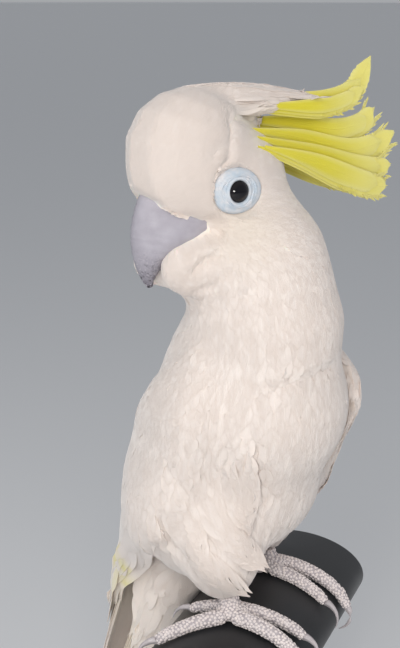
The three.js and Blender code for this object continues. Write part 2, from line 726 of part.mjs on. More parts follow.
for (const [name, s] of sides) {
  const [lower, upper] = WING_LAYERS;
  const under = cut(wingLayer(s, lower), envelope, wingLayer(s, upper, GAP));
  const shells = [under, cut(wingLayer(s, upper), envelope)];
  add(bird, `wing_${lower[0]}_${name}`, shells[0], MATERIALS.flightFeather);
  add(bird, `wing_${upper[0]}_${name}`, shells[1], MATERIALS.plumage);
  add(bird, `thigh_${name}`, cut(thigh(s), envelope, ...shells), MATERIALS.plumage);
  add(bird, `foot_${name}`, cut(foot(s), envelope), MATERIALS.foot);
  for (const kind of TOES) {
    add(bird, `toe_${kind[0]}_${name}`, cut(toe(s, kind), palm(s, GAP)), MATERIALS.foot);
    add(bird, `claw_${kind[0]}_${name}`, cut(claw(s, kind), toe(s, kind, GAP)), MATERIALS.claw);
  }
}

for (let i = 0; i < TAIL_FEATHERS; i++)
  add(bird, `tail_feather_${i + 1}`, cut(tailFeather(i), envelope), MATERIALS.flightFeather);

add(bird, "stand_perch", perchBar(), MATERIALS.bar);
for (const [name, s] of sides) add(bird, `stand_rod_${name}`, standRod(s), MATERIALS.rod);
add(part, "stand_base", standBase(), MATERIALS.base);

export default part;
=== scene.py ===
"""The looks of a life-size white cockatoo, gripping a short bar on a display stand.

Lengths are in millimetres in the bird's own frame: its origin is the top of the bar, the breast faces -Y, the
bird's left is +X, and +Z is up. They become metres only where a mesh is made.
"""
import logging
import math
from dataclasses import dataclass
from enum import Enum
from itertools import product
from typing import Iterable, Sequence

import bpy
import numpy as np
from mathutils import Matrix, Vector
from mathutils.bvhtree import BVHTree


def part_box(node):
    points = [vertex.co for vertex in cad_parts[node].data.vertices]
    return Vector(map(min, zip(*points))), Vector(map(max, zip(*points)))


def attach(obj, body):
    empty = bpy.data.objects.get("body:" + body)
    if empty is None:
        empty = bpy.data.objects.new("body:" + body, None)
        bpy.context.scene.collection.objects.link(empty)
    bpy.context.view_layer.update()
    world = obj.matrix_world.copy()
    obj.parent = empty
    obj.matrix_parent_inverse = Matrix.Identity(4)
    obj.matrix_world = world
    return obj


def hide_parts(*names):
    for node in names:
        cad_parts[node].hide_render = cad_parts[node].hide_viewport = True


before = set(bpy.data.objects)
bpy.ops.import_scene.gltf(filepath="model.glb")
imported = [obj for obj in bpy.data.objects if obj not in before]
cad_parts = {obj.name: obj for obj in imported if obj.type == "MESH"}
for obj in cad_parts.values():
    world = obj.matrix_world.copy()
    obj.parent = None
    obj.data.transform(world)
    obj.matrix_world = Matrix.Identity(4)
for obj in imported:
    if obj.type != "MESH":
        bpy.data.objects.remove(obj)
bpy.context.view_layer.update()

LOG = logging.getLogger("cockatoo")
MM = 0.001
BIRD_ORIGIN = np.array([0.0, -14.0, 194.0])
BODY = "root"
SIDES = {"left": 1, "right": -1}
TINY = 1e-9
Array = np.ndarray
Triple = tuple[float, float, float]
Pair = tuple[float, float]
Piece = bpy.types.Object
Socket = bpy.types.NodeSocket


# ---- Small mathematics ----
def smooth(value: Array | float, low: float, high: float) -> Array | float:
    """A share that rises softly from 0 at low to 1 at high."""
    share = np.clip((np.asarray(value, float) - low) / (high - low), 0.0, 1.0)
    return share * share * (3.0 - 2.0 * share)


def unit(vectors: Array) -> Array:
    """The vectors of the last axis, each of length one."""
    return vectors / np.maximum(np.linalg.norm(vectors, axis=-1, keepdims=True), TINY)


def flat_on(vectors: Array, normals: Array) -> Array:
    """The vectors laid into the planes of the normals, each of length one."""
    return unit(vectors - normals * np.sum(vectors * normals, axis=-1, keepdims=True))


def to_world(points: Array) -> Array:
    """Points of the bird's frame in millimetres, as metres in the shared frame."""
    return (np.asarray(points, float) + BIRD_ORIGIN) * MM


def to_bird(points: Array) -> Array:
    """Points of the shared frame in metres, as millimetres in the bird's frame."""
    return np.asarray(points, float) / MM - BIRD_ORIGIN


def along_path(path: Array, shares: Array) -> Array:
    """Points on a smooth curve through the rows of a path.

    Args:
        path: the rows that the curve passes through.
        shares: places along it, from 0 at the first row to 1 at the last.

    Returns:
        One row for each share.
    """
    rows = np.asarray(path, float)
    ends = np.vstack([2 * rows[0] - rows[1], rows, 2 * rows[-1] - rows[-2]])
    spot = np.clip(np.asarray(shares, float), 0, 1) * (len(rows) - 1)
    first = np.minimum(spot.astype(int), len(rows) - 2)
    t = (spot - first)[:, None]
    a, b, c, d = (ends[first + i] for i in range(4))
    return 0.5 * (2 * b + (c - a) * t + (2 * a - 5 * b + 4 * c - d) * t**2 + (3 * b - a - 3 * c + d) * t**3)


def near_path(points: Array, path: Sequence[Triple]) -> tuple[Array, Array, Array, Array]:
    """Where points lie beside a bent line.

    Args:
        points: the points.
        path: the corners of the line.

    Returns:
        The distance to the line, the share of the line at the nearest place, the line's direction there, and
        that place.
    """
    rows = np.asarray(path, float)
    best = np.full(len(points), np.inf)
    share = np.zeros(len(points))
    heading = np.zeros((len(points), 3))
    place = np.zeros((len(points), 3))
    pieces = len(rows) - 1
    for i in range(pieces):
        leg = rows[i + 1] - rows[i]
        t = np.clip((points - rows[i]) @ leg / (leg @ leg), 0, 1)
        nearest = rows[i] + t[:, None] * leg
        gap = np.linalg.norm(points - nearest, axis=1)
        closer = gap < best
        best = np.where(closer, gap, best)
        share = np.where(closer, (i + t) / pieces, share)
        heading[closer] = leg / np.linalg.norm(leg)
        place[closer] = nearest[closer]
    return best, share, heading, place


# ---- The bird's own lines ----
MIDLINE = np.array(
    [
        # height, x, y
        [-140, 0, 111], [0, 0, 54], [20, 0, 36], [60, 0, 15], [104, 0, 3],
        [150, 0, -5], [182, -3, -1], [204, -11, 7], [222, -15, 12], [300, -15, 12],
    ],
    float,
)


def middle_at(heights: Array) -> Array:
    """Points on the line up the middle of the body, at the given heights."""
    z = np.asarray(heights, float)
    x, y = (np.interp(z, MIDLINE[:, 0], MIDLINE[:, k]) for k in (1, 2))
    return np.stack([x, y, z], axis=-1)


@dataclass(frozen=True)
class HeadFrame:
    """The head's own frame: forward along the face, side to the bird's left, up."""

    centre: Triple = (-16.3, 12.2, 219.9)
    facing: float = 167.0

    @property
    def axes(self) -> Array:
        """Rows of the forward, side and up directions."""
        c, s = math.cos(math.radians(self.facing)), math.sin(math.radians(self.facing))
        return np.array([[c, s, 0], [-s, c, 0], [0, 0, 1]])

    def place(self, rows: Sequence[Triple]) -> Array:
        """Points given as forward, side and up, in the bird's frame."""
        return np.asarray(self.centre) + np.atleast_2d(np.asarray(rows, float)) @ self.axes

    def read(self, points: Array) -> Array:
        """Points of the bird's frame, as forward, side and up."""
        return (points - np.asarray(self.centre)) @ self.axes.T

    def turn(self, row: Triple) -> Array:
        """A direction given as forward, side and up, in the bird's frame."""
        return np.asarray(row, float) @ self.axes


HEAD = HeadFrame()
BILL_ROOT = HEAD.place([(40, 0, -15)])[0]


def on_head(*rows: Triple, side: int = 1) -> tuple[Triple, ...]:
    """Places given in the head's frame on its left, moved to the side that is asked for."""
    return tuple(tuple(row) for row in HEAD.place([(f, s * side, u) for f, s, u in rows]))


# ---- Colours ----
def linear(code: int) -> tuple[float, float, float, float]:
    """A colour written as red, green and blue in one number, in linear light."""
    parts = [(code >> shift & 255) / 255 for shift in (16, 8, 0)]
    # the numbers are those of the sRGB curve
    return (*(p / 12.92 if p < 0.04045 else ((p + 0.055) / 1.055) ** 2.4 for p in parts), 1.0)


class Hue(Enum):
    """The object's colours, and one painted shade."""

    WHITE = 0xF0E3DA
    CREAM = 0xEFE2CF
    YELLOW = 0xE2D42E
    PALE_YELLOW = 0xEAE396
    LILAC_GREY = 0xA6A3AC
    CLOUDED_HORN = 0x9B98A1
    DARK_HORN = 0x5D5963
    HORN_FLECK = 0x26242B
    CHALK = 0xD9D5DC
    RING_BLUE = 0xB0BDC9
    # painted shade: the dark brown of the shadow in the parting between the breast and the far wing
    SHADED = 0x9C8468
    PUPIL = 0x0B0A10
    IRIS = 0x0E0D12
    IRIS_STREAK = 0x1B1719
    FOOT_SKIN = 0xA29B9F
    SCALE = 0xD6CFCF
    CLAW = 0xB7B1B3
    BAR = 0x131417
    STEEL = 0x9A9DA1
    WOOD = 0x5A3B24
    DARK_WOOD = 0x36210F
    FLOOR = 0xDFE1E3

    @property
    def rgba(self) -> tuple[float, float, float, float]:
        """Linear red, green, blue and alpha."""
        return linear(self.value)

    @property
    def rgb(self) -> Array:
        """Linear red, green and blue."""
        return np.array(self.rgba[:3])


@dataclass(frozen=True)
class Mark:
    """A soft patch of another colour on the skin and on the coat over it."""

    place: Triple
    reach: float
    hue: Hue
    strength: float


MARKS_AND_PAINTED_SHADE = [
    Mark((-34, 62, 14), 4.5, Hue.YELLOW, 0.8),
    Mark((-33, 66, 3), 4.5, Hue.YELLOW, 0.8),
    Mark((-32, 70, -9), 4.5, Hue.YELLOW, 0.7),
    *(Mark((24 * side, 74, -22), 20, Hue.PALE_YELLOW, 0.2) for side in (-1, 1)),
    *(Mark(on_head((-11, 12, 15), side=side)[0], 9, Hue.PALE_YELLOW, 0.5) for side in (1, -1)),
    *(Mark(on_head((4, 25, -24), side=side)[0], 13, Hue.CREAM, 0.5) for side in (1, -1)),
]


def markings_and_painted_shade(points: Array) -> Array:
    """Colour of the plumage and painted shade at each point, the same for the skin and feathers rooted there.

    Args:
        points: the points.

    Returns:
        Linear red, green and blue for each.
    """
    colour = np.tile(Hue.WHITE.rgb, (len(points), 1))
    for mark in MARKS_AND_PAINTED_SHADE:
        gap = np.linalg.norm(points - np.asarray(mark.place), axis=1)
        share = (mark.strength * np.exp(-((gap / mark.reach) ** 2)))[:, None]
        colour = colour * (1 - share) + mark.hue.rgb * share
    return colour


# ---- Materials ----
LEAN_BETWEEN = (0.3, 0.7)
SOFT_NOISE = (0.3, 0.7)
CLOUD_NOISE = (0.35, 0.7)


class Shader:
    """Builds one material's nodes."""

    def __init__(self, name: str) -> None:
        """Starts a material with a Principled surface."""
        self.material = bpy.data.materials.new(name)
        self.material.use_nodes = True
        self.tree = self.material.node_tree
        self.surface = self.tree.nodes["Principled BSDF"]

    def node(self, kind: str, inputs: dict | None = None, **settings: object) -> bpy.types.Node:
        """Adds a node.

        Args:
            kind: the node type without its ShaderNode prefix.
            inputs: values or sockets for its inputs, by name or index.
            settings: properties of the node.

        Returns:
            The node.
        """
        made = self.tree.nodes.new("ShaderNode" + kind)
        for key, value in settings.items():
            setattr(made, key, value)
        for key, value in (inputs or {}).items():
            self.feed(made.inputs[key], value)
        return made

    def feed(self, socket: Socket, value: object) -> None:
        """Links a socket to an input, or gives the input a value."""
        if isinstance(value, Socket):
            self.tree.links.new(value, socket)
        else:
            socket.default_value = value

    def set(self, **values: object) -> "Shader":
        """Sets inputs of the surface."""
        for key, value in values.items():
            self.feed(self.surface.inputs[key.replace("_", " ")], value)
        return self

    def place(self) -> Socket:
        """The point on the piece, in metres."""
        return self.node("TexCoord").outputs["Object"]

    def stretched(self, scale: Triple, turn: Triple = (0, 0, 0)) -> Socket:
        """The point on the piece, scaled and turned."""
        inputs = {"Vector": self.place(), "Scale": scale, "Rotation": turn}
        return self.node("Mapping", inputs).outputs["Vector"]

    def attribute(self, name: str) -> bpy.types.Node:
        """An attribute that the mesh carries."""
        return self.node("Attribute", attribute_name=name)

    def on_vane(self) -> object:
        """The mesh's own places across and along each form, as sockets X, Y and Z."""
        return self.node("SeparateXYZ", {0: self.attribute("vane").outputs["Vector"]}).outputs

    def shaded(self, colour: Socket, shade: Socket) -> Socket:
        """A colour darkened by a grey."""
        grey = self.node("CombineColor", {0: shade, 1: shade, 2: shade}).outputs[0]
        return self.mix(1.0, colour, grey, "MULTIPLY")

    def times(self, a: object, b: object) -> Socket:
        """A product."""
        return self.math("MULTIPLY", a, b)

    def noise(self, scale: float, detail: float = 3.0, where: object = None) -> Socket:
        """Soft noise, with a size given as repeats in a metre."""
        inputs = {"Vector": where or self.place(), "Scale": scale, "Detail": detail}
        return self.node("TexNoise", inputs).outputs["Fac"]

    def ramp(self, value: object, low: float, high: float, to: Pair = (0, 1)) -> object:
        """A value carried from one range into another and held at its ends."""
        inputs = {"Value": value, "From Min": low, "From Max": high, "To Min": to[0], "To Max": to[1]}
        return self.node("MapRange", inputs, clamp=True).outputs["Result"]

    def math(self, operation: str, a: object, b: object = 0.0) -> Socket:
        """One step of arithmetic."""
        return self.node("Math", {0: a, 1: b}, operation=operation).outputs[0]

    def mix(self, share: object, a: object, b: object, blend: str = "MIX") -> Socket:
        """Two colours mixed.

        Args:
            share: how much of the second colour is taken.
            a: the first colour.
            b: the second colour.
            blend: how they mix.

        Returns:
            The mixed colour.
        """
        made = self.node("Mix", data_type="RGBA", blend_type=blend)
        for socket, value in ((made.inputs["Factor"], share), (made.inputs[6], a), (made.inputs[7], b)):
            self.feed(socket, value)
        return made.outputs[2]

    def leaning(self, name: str, share: float) -> Socket:
        """The surface's own direction, leaning towards one that the mesh carries.

        Args:
            name: the attribute that holds the other direction.
            share: how far the surface leans, where the two lie near each other.

        Returns:
            The direction.
        """
        own = self.node("NewGeometry").outputs["Normal"]
        made = self.node("Mix", data_type="VECTOR")
        aim = self.attribute(name).outputs["Vector"]
        along = self.node("VectorMath", {0: own, 1: aim}, operation="DOT_PRODUCT").outputs["Value"]
        share = self.ramp(along, *LEAN_BETWEEN, (0, share))
        for socket, value in ((made.inputs["Factor"], share), (made.inputs[4], own), (made.inputs[5], aim)):
            self.feed(socket, value)
        return self.node("VectorMath", {0: made.outputs[1]}, operation="NORMALIZE").outputs["Vector"]

    def bump(self, height: object, distance: float, strength: float = 1.0, over: object = None) -> "Shader":
        """Raises the surface's shading by a height.

        Args:
            height: the height, as a value or a socket.
            distance: how far a height of 1 stands out, in millimetres.
            strength: how much of it shows.
            over: the surface's direction that it starts from, or None for its own.

        Returns:
            This shader.
        """
        inputs = {"Height": height, "Distance": distance * MM, "Strength": strength}
        if over is not None:
            inputs["Normal"] = over
        return self.set(Normal=self.node("Bump", inputs).outputs["Normal"])


@dataclass(frozen=True)
class FeatherFinish:
    """Plumage: its own tint, fine barbs beside the shaft and a soft sheen."""

    name: str
    barbs: float = 34.0
    barb_depth: float = 0.12
    roughness: float = 0.62
    edge: Hue = Hue.WHITE
    edge_from: float = 0.45
    edge_share: float = 0.0
    softness: float = 0.93
    barb_slant: float = 0.42
    wobble: float = 0.10
    shaft_half: float = 0.09
    # the darkest shade that the clouds, the barbs and each feather's own chance give
    cloud_shade: float = 0.95
    barb_shade: float = 0.965
    feather_shade: float = 0.98

    def make(self) -> bpy.types.Material:
        """The material."""
        s = Shader(self.name)
        vane = s.on_vane()
        across = s.math("ABSOLUTE", vane["X"])
        slant = s.math("SUBTRACT", s.times(across, self.barb_slant), vane["Y"])
        wobble = s.times(s.noise(420, 2), self.wobble)
        barb = s.math("SINE", s.times(s.math("ADD", slant, wobble), self.barbs * math.tau))
        cloud = s.ramp(s.noise(26, 4), *SOFT_NOISE, (self.cloud_shade, 1.0))
        tint = s.attribute("tint").outputs["Color"]
        if self.edge_share:
            rim = s.times(s.ramp(across, self.edge_from, 1.0), self.edge_share)
            tint = s.mix(rim, tint, self.edge.rgba)
        shade = s.times(cloud, s.ramp(barb, -1, 1, (self.barb_shade, 1.0)))
        shade = s.times(shade, s.ramp(vane["Z"], 0, 1, (self.feather_shade, 1.0)))
        shaft = s.ramp(across, 0.0, self.shaft_half, (1, 0))
        height = s.math("ADD", s.times(barb, self.barb_depth), shaft)
        s.set(Base_Color=s.shaded(tint, shade), Roughness=self.roughness)
        s.set(Sheen_Weight=0.35, Sheen_Roughness=0.5, Specular_IOR_Level=0.3)
        s.set(Subsurface_Weight=0.25, Subsurface_Scale=0.004)
        s.surface.inputs["Subsurface Radius"].default_value = (1.0, 0.8, 0.7)
        return s.bump(height, 0.25, 0.3, s.leaning("lie", self.softness)).material


@dataclass(frozen=True)
class SkinFinish:
    """The surface under the coat, with the same marks and painted shade as the coat, and a downy grain."""

    name: str = "skin_under_coat"
    shades: Pair = (0.86, 0.97)

    def make(self) -> bpy.types.Material:
        """The material."""
        s = Shader(self.name)
        cloud = s.ramp(s.noise(60, 5), *SOFT_NOISE, self.shades)
        tint = s.attribute("tint").outputs["Color"]
        s.set(Base_Color=s.shaded(tint, cloud), Roughness=0.8)
        s.set(Subsurface_Weight=0.2, Subsurface_Scale=0.004)
        return s.bump(s.noise(700, 4), 0.5, 0.6).material


@dataclass(frozen=True)
class BillFinish:
    """Grey-lilac horn under a bloom of powder, worn and dark-flecked towards the tip."""

    name: str = "powdered_horn"
    ridge_width: float = 0.12
    ridge_height: float = 0.8
    # where the tip's darkening starts and ends along the bill, and how dark, chalky and pitted the tip is
    tip: Pair = (0.5, 0.95)
    tip_dark: float = 0.7
    tip_chalk: float = 0.8
    pit_depth: float = 0.9
    roughness: Pair = (0.42, 0.6)

    def make(self) -> bpy.types.Material:
        """The material."""
        s = Shader(self.name)
        run = s.on_vane()
        narrow = s.times(run["Y"], self.ridge_width)
        growth = s.noise(30, 5, s.node("CombineXYZ", {0: run["X"], 1: narrow}).outputs[0])
        cloud = s.noise(140, 5)
        colour = s.mix(s.ramp(cloud, *CLOUD_NOISE), Hue.LILAC_GREY.rgba, Hue.CLOUDED_HORN.rgba)
        tipward = s.ramp(run["X"], *self.tip)
        flecks = s.times(s.ramp(s.noise(900, 3), 0.52, 0.62), tipward)
        flecks = s.times(flecks, s.ramp(s.noise(260, 2), 0.42, 0.6))
        colour = s.mix(s.times(tipward, self.tip_dark), colour, Hue.DARK_HORN.rgba)
        colour = s.mix(flecks, colour, Hue.HORN_FLECK.rgba)
        chalk = s.times(s.ramp(s.noise(1100, 3), 0.60, 0.68), tipward)
        colour = s.mix(s.times(chalk, self.tip_chalk), colour, Hue.CHALK.rgba)
        s.set(Base_Color=colour, Roughness=s.ramp(cloud, *SOFT_NOISE, self.roughness), Specular_IOR_Level=0.4)
        ridges = s.times(growth, self.ridge_height)
        height = s.math("ADD", ridges, s.times(flecks, -self.pit_depth))
        return s.bump(height, 0.5, 0.6).material


@dataclass(frozen=True)
class PlainFinish:
    """A finish of one colour, clouded by another, with a fine grain."""

    name: str
    hue: Hue
    second: Hue
    patch: float = 80.0
    grain: float = 900.0
    grain_depth: float = 0.15
    roughness: Pair = (0.4, 0.55)
    metallic: float = 0.0
    share: float = 0.4

    def make(self) -> bpy.types.Material:
        """The material."""
        s = Shader(self.name)
        cloud = s.noise(self.patch, 5)
        share = s.times(s.ramp(cloud, *CLOUD_NOISE), self.share)
        s.set(Base_Color=s.mix(share, self.hue.rgba, self.second.rgba))
        s.set(Roughness=s.ramp(cloud, *SOFT_NOISE, self.roughness), Metallic=self.metallic)
        return s.bump(s.noise(self.grain, 4), self.grain_depth, 0.6).material


@dataclass(frozen=True)
class WoodFinish:
    """Dark varnished wood with a long grain."""

    name: str = "varnished_wood"
    turn: Triple = (0, 0, 0.4)
    grain_stretch: Triple = (1.0, 14.0, 14.0)
    pore_stretch: Triple = (0.6, 14.0, 14.0)
    roughness: Pair = (0.28, 0.42)

    def make(self) -> bpy.types.Material:
        """The material."""
        s = Shader(self.name)
        grain = s.noise(9, 6, s.stretched(self.grain_stretch, self.turn))
        pores = s.noise(60, 3, s.stretched(self.pore_stretch, self.turn))
        colour = s.mix(s.ramp(grain, 0.35, 0.65), Hue.WOOD.rgba, Hue.DARK_WOOD.rgba)
        s.set(Base_Color=colour, Roughness=s.ramp(pores, *SOFT_NOISE, self.roughness))
        s.set(Coat_Weight=0.4, Coat_Roughness=0.15)
        return s.bump(pores, 0.15, 0.4).material


@dataclass(frozen=True)
class EyeFinish:
    """A near-black iris round a black pupil, under a wet clear coat."""

    name: str = "wet_eye"
    pupil_rim: Pair = (0.42, 0.5)

    def make(self) -> bpy.types.Material:
        """The material."""
        s = Shader(self.name)
        run = s.on_vane()
        iris = s.mix(s.noise(1500, 3), Hue.IRIS.rgba, Hue.IRIS_STREAK.rgba)
        colour = s.mix(s.ramp(run["X"], *self.pupil_rim), Hue.PUPIL.rgba, iris)
        s.set(Base_Color=colour, Roughness=0.04, Specular_IOR_Level=0.35)
        return s.material


# ---- Meshes from arrays ----
BAKE_MAP = "OFBake"
# the lowest height on the bake map, the height that all of it spans, and the side of one feather's patch
UNROLL_FROM = -150.0
UNROLL_HEIGHT = 430.0
PATCH = 0.003
THIN_CELL = 2.6
MERGE_WITHIN = 0.01 * MM


def deselect_all() -> None:
    """Leaves nothing selected."""
    bpy.ops.object.select_all(action="DESELECT")


def activate(piece: Piece) -> None:
    """Selects one piece alone and makes it the active one."""
    deselect_all()
    piece.select_set(True)
    bpy.context.view_layer.objects.active = piece


def add_object(name: str, data: bpy.types.ID) -> Piece:
    """Puts a new object with its data into the scene."""
    made = bpy.data.objects.new(name, data)
    bpy.context.scene.collection.objects.link(made)
    return made


def apply_modifier(piece: Piece, kind: str, **settings: object) -> None:
    """Adds a modifier to a piece and applies it.

    Args:
        piece: the piece.
        kind: the modifier's type.
        settings: its properties.
    """
    activate(piece)
    made = piece.modifiers.new(kind.lower(), kind)
    for key, value in settings.items():
        setattr(made, key, value)
    bpy.ops.object.modifier_apply(modifier=made.name)


def points_of(piece: Piece) -> Array:
    """A mesh's points, in the bird's frame."""
    flat = np.empty(len(piece.data.vertices) * 3)
    piece.data.vertices.foreach_get("co", flat)
    return to_bird(flat.reshape(-1, 3))


def normals_of(piece: Piece) -> Array:
    """A mesh's outward direction at each point."""
    flat = np.empty(len(piece.data.vertices) * 3)
    piece.data.vertices.foreach_get("normal", flat)
    return flat.reshape(-1, 3)


def move_points(piece: Piece, points: Array) -> None:
    """Puts a mesh's points where they are given, in the bird's frame."""
    piece.data.vertices.foreach_set("co", to_world(points).ravel())
    piece.data.update()


def carry(piece: Piece, name: str, values: Array) -> None:
    """Gives each point of a piece a value that its finish reads.

    Args:
        piece: the piece.
        name: the attribute's name: "tint" for a colour, any other for a vector.
        values: three numbers for each point.
    """
    values = values.reshape(-1, 3)
    kind, field = "FLOAT_VECTOR", "vector"
    if name == "tint":
        kind, field = "FLOAT_COLOR", "color"
        values = np.hstack([values, np.ones((len(values), 1))])
    layer = piece.data.attributes.new(name, kind, "POINT")
    layer.data.foreach_set(field, values.astype(np.float32).ravel())


def mesh_piece(name: str, points: Array, faces: Iterable[Array], smooth_angle: float = 0.0) -> Piece:
    """A piece from arrays.

    Args:
        name: the piece's name.
        points: its points, in the bird's frame.
        faces: arrays of faces, each with as many corners to a row.
        smooth_angle: the angle in degrees up to which an edge is shaded smooth, or 0 for all edges.

    Returns:
        The piece, in the scene.
    """
    groups = [np.asarray(group, np.int32) for group in faces if len(group)]
    corners = np.concatenate([group.ravel() for group in groups])
    sizes = np.concatenate([np.full(len(group), group.shape[1]) for group in groups])
    starts = np.concatenate([[0], np.cumsum(sizes)[:-1]]).astype(np.int32)
    mesh = bpy.data.meshes.new(name)
    mesh.vertices.add(len(points))
    mesh.vertices.foreach_set("co", to_world(points).astype(np.float32).ravel())
    mesh.loops.add(len(corners))
    mesh.loops.foreach_set("vertex_index", corners)
    mesh.polygons.add(len(starts))
    mesh.polygons.foreach_set("loop_start", starts)
    mesh.polygons.foreach_set("use_smooth", np.ones(len(starts), bool))
    mesh.update(calc_edges=True)
    piece = add_object(name, mesh)
    if smooth_angle:
        activate(piece)
        bpy.ops.object.shade_smooth_by_angle(angle=math.radians(smooth_angle))
    return piece


def dress(piece: Piece, finish: bpy.types.Material, nodes: Sequence[str] = ()) -> None:
    """Finishes a piece and reports it.

    Args:
        piece: the piece.
        finish: its material.
        nodes: the nodes that it stands for.
    """
    piece.data.materials.clear()
    piece.data.materials.append(finish)
    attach(piece, BODY)
    if nodes:
        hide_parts(*nodes)
    piece.data.calc_loop_triangles()
    LOG.info("%s: %d triangles", piece.name, len(piece.data.loop_triangles))


def copy_of(names: Sequence[str], name: str) -> Piece:
    """One mesh joined from copies of solids, with the points that touch merged.

    Args:
        names: the solids.
        name: the new piece's name.

    Returns:
        The piece. The solids stay as they are.
    """
    deselect_all()
    copies = []
    for node in names:
        made = add_object(name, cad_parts[node].data.copy())
        made.select_set(True)
        copies.append(made)
    bpy.context.view_layer.objects.active = copies[0]
    if len(copies) > 1:
        bpy.ops.object.join()
    bpy.ops.object.mode_set(mode="EDIT")
    bpy.ops.mesh.select_all(action="SELECT")
    bpy.ops.mesh.remove_doubles(threshold=MERGE_WITHIN)
    bpy.ops.object.mode_set(mode="OBJECT")
    copies[0].data.materials.clear()
    return copies[0]


def keep_largest(piece: Piece) -> None:
    """Removes every loose part of a mesh but the one with the most points.

    Args:
        piece: the piece that is cleaned.
    """
    mesh = piece.data
    edges = np.empty(len(mesh.edges) * 2, np.int32)
    mesh.edges.foreach_get("vertices", edges)
    edges = edges.reshape(-1, 2)
    label = np.arange(len(mesh.vertices))
    while True:
        low = np.minimum(label[edges[:, 0]], label[edges[:, 1]])
        before = label.copy()
        np.minimum.at(label, edges[:, 0], low)
        np.minimum.at(label, edges[:, 1], low)
        label = label[label]
        if np.array_equal(before, label):
            break
    kept = np.bincount(label).argmax()
    select = label != kept
    if not select.any():
        return
    activate(piece)
    bpy.ops.object.mode_set(mode="EDIT")
    bpy.ops.mesh.select_mode(type="VERT")
    bpy.ops.mesh.select_all(action="DESELECT")
    bpy.ops.object.mode_set(mode="OBJECT")
    mesh.vertices.foreach_set("select", select)
    bpy.ops.object.mode_set(mode="EDIT")
    bpy.ops.mesh.delete(type="VERT")
    bpy.ops.object.mode_set(mode="OBJECT")


def triangles_of(piece: Piece) -> Array:
    """A mesh's triangles.

    Args:
        piece: the piece.

    Returns:
        The numbers of three points to a row.
    """
    mesh = piece.data
    mesh.calc_loop_triangles()
    corners = np.empty(len(mesh.loop_triangles) * 3, np.int32)
    mesh.loop_triangles.foreach_get("vertices", corners)
    return corners.reshape(-1, 3)


def search_tree(piece: Piece) -> BVHTree:
    """A tree that finds places on a piece, in the bird's frame."""
    return BVHTree.FromPolygons(points_of(piece).tolist(), triangles_of(piece).tolist())


def ring_quads(at: Array) -> Array:
    """Quads between neighbouring rings of points.

    Args:
        at: the points' numbers, with rings and then places round them as the last axes.

    Returns:
        The numbers of four points to a row.
    """
    ring = np.roll(at, -1, axis=-1)
    corners = [at[..., :-1, :], ring[..., :-1, :], ring[..., 1:, :], at[..., 1:, :]]
    return np.stack(corners, axis=-1).reshape(-1, 4)


def thin(spots: Array, spacing: Array) -> Array:
    """Which spots to keep so that none lies nearer to another than its own spacing.

    Args:
        spots: the spots, taken in turn.
        spacing: the room that each needs.

    Returns:
        The numbers of the spots that are kept.
    """
    grid: dict[Triple, list[Triple]] = {}
    cells = np.floor(spots / THIN_CELL).astype(int).tolist()
    kept = []
    for i, ((x, y, z), (cx, cy, cz)) in enumerate(zip(spots.tolist(), cells)):
        reach = int(spacing[i] / THIN_CELL) + 1
        room = spacing[i] * spacing[i]
        crowded = any(
            (px - x) ** 2 + (py - y) ** 2 + (pz - z) ** 2 < room
            for dx, dy, dz in product(range(-reach, reach + 1), repeat=3)
            for px, py, pz in grid.get((cx + dx, cy + dy, cz + dz), ())
        )
        if not crowded:
            grid.setdefault((cx, cy, cz), []).append((x, y, z))
            kept.append(i)
    return np.array(kept)


def write_bake_map(piece: Piece, spots: Array) -> None:
    """Gives a piece its bake map.

    Args:
        piece: the piece.
        spots: a place on the map for each of its points.
    """
    loops = np.empty(len(piece.data.loops), np.int32)
    piece.data.loops.foreach_get("vertex_index", loops)
    layer = piece.data.uv_layers.new(name=BAKE_MAP)
    layer.data.foreach_set("uv", spots[loops].astype(np.float32).ravel())


# ---- Vanes: thin closed feathers, many to a mesh ----
@dataclass(frozen=True)
class VaneShape:
    """The outline and build of a kind of feather."""

    columns: int = 5
    root: float = 0.4
    widest: float = 0.5
    tip_start: float = 0.6
    tip: float = 0.4
    roundness: float = 0.6
    ragged: float = 0.07
    fringe: float = 0.0
    camber: float = 0.1
    thickness: float = 0.12
    wrap_radius: float = 35.0
    # shares of the length over which the edges start to fray and the tip draws back
    frays: Pair = (0.45, 0.85)
    draws: Pair = (0.55, 1.0)


def width_along(shares: Array, shape: VaneShape) -> Array:
    """Width of a feather, as a share of its widest.

    Args:
        shares: places along it, from 0 at the root to 1 at the tip.
        shape: its outline.

    Returns:
        The width at each place.
    """
    swell = shape.root + (1 - shape.root) * np.sin(np.minimum(shares / shape.widest, 1) * math.pi / 2)
    over = np.clip((shares - shape.tip_start) / (1 - shape.tip_start), 0, 1)
    return swell * np.sqrt(np.maximum(1 - over**2, shape.tip**2))


def unwrap(points: Array) -> Array:
    """Where points lie on the skin when it is unrolled round the line up its middle."""
    arm = points - middle_at(points[:, 2])
    around = 0.5 + np.arctan2(arm[:, 1], arm[:, 0]) / math.tau
    return np.stack([around, (points[:, 2] - UNROLL_FROM) / UNROLL_HEIGHT], axis=1)


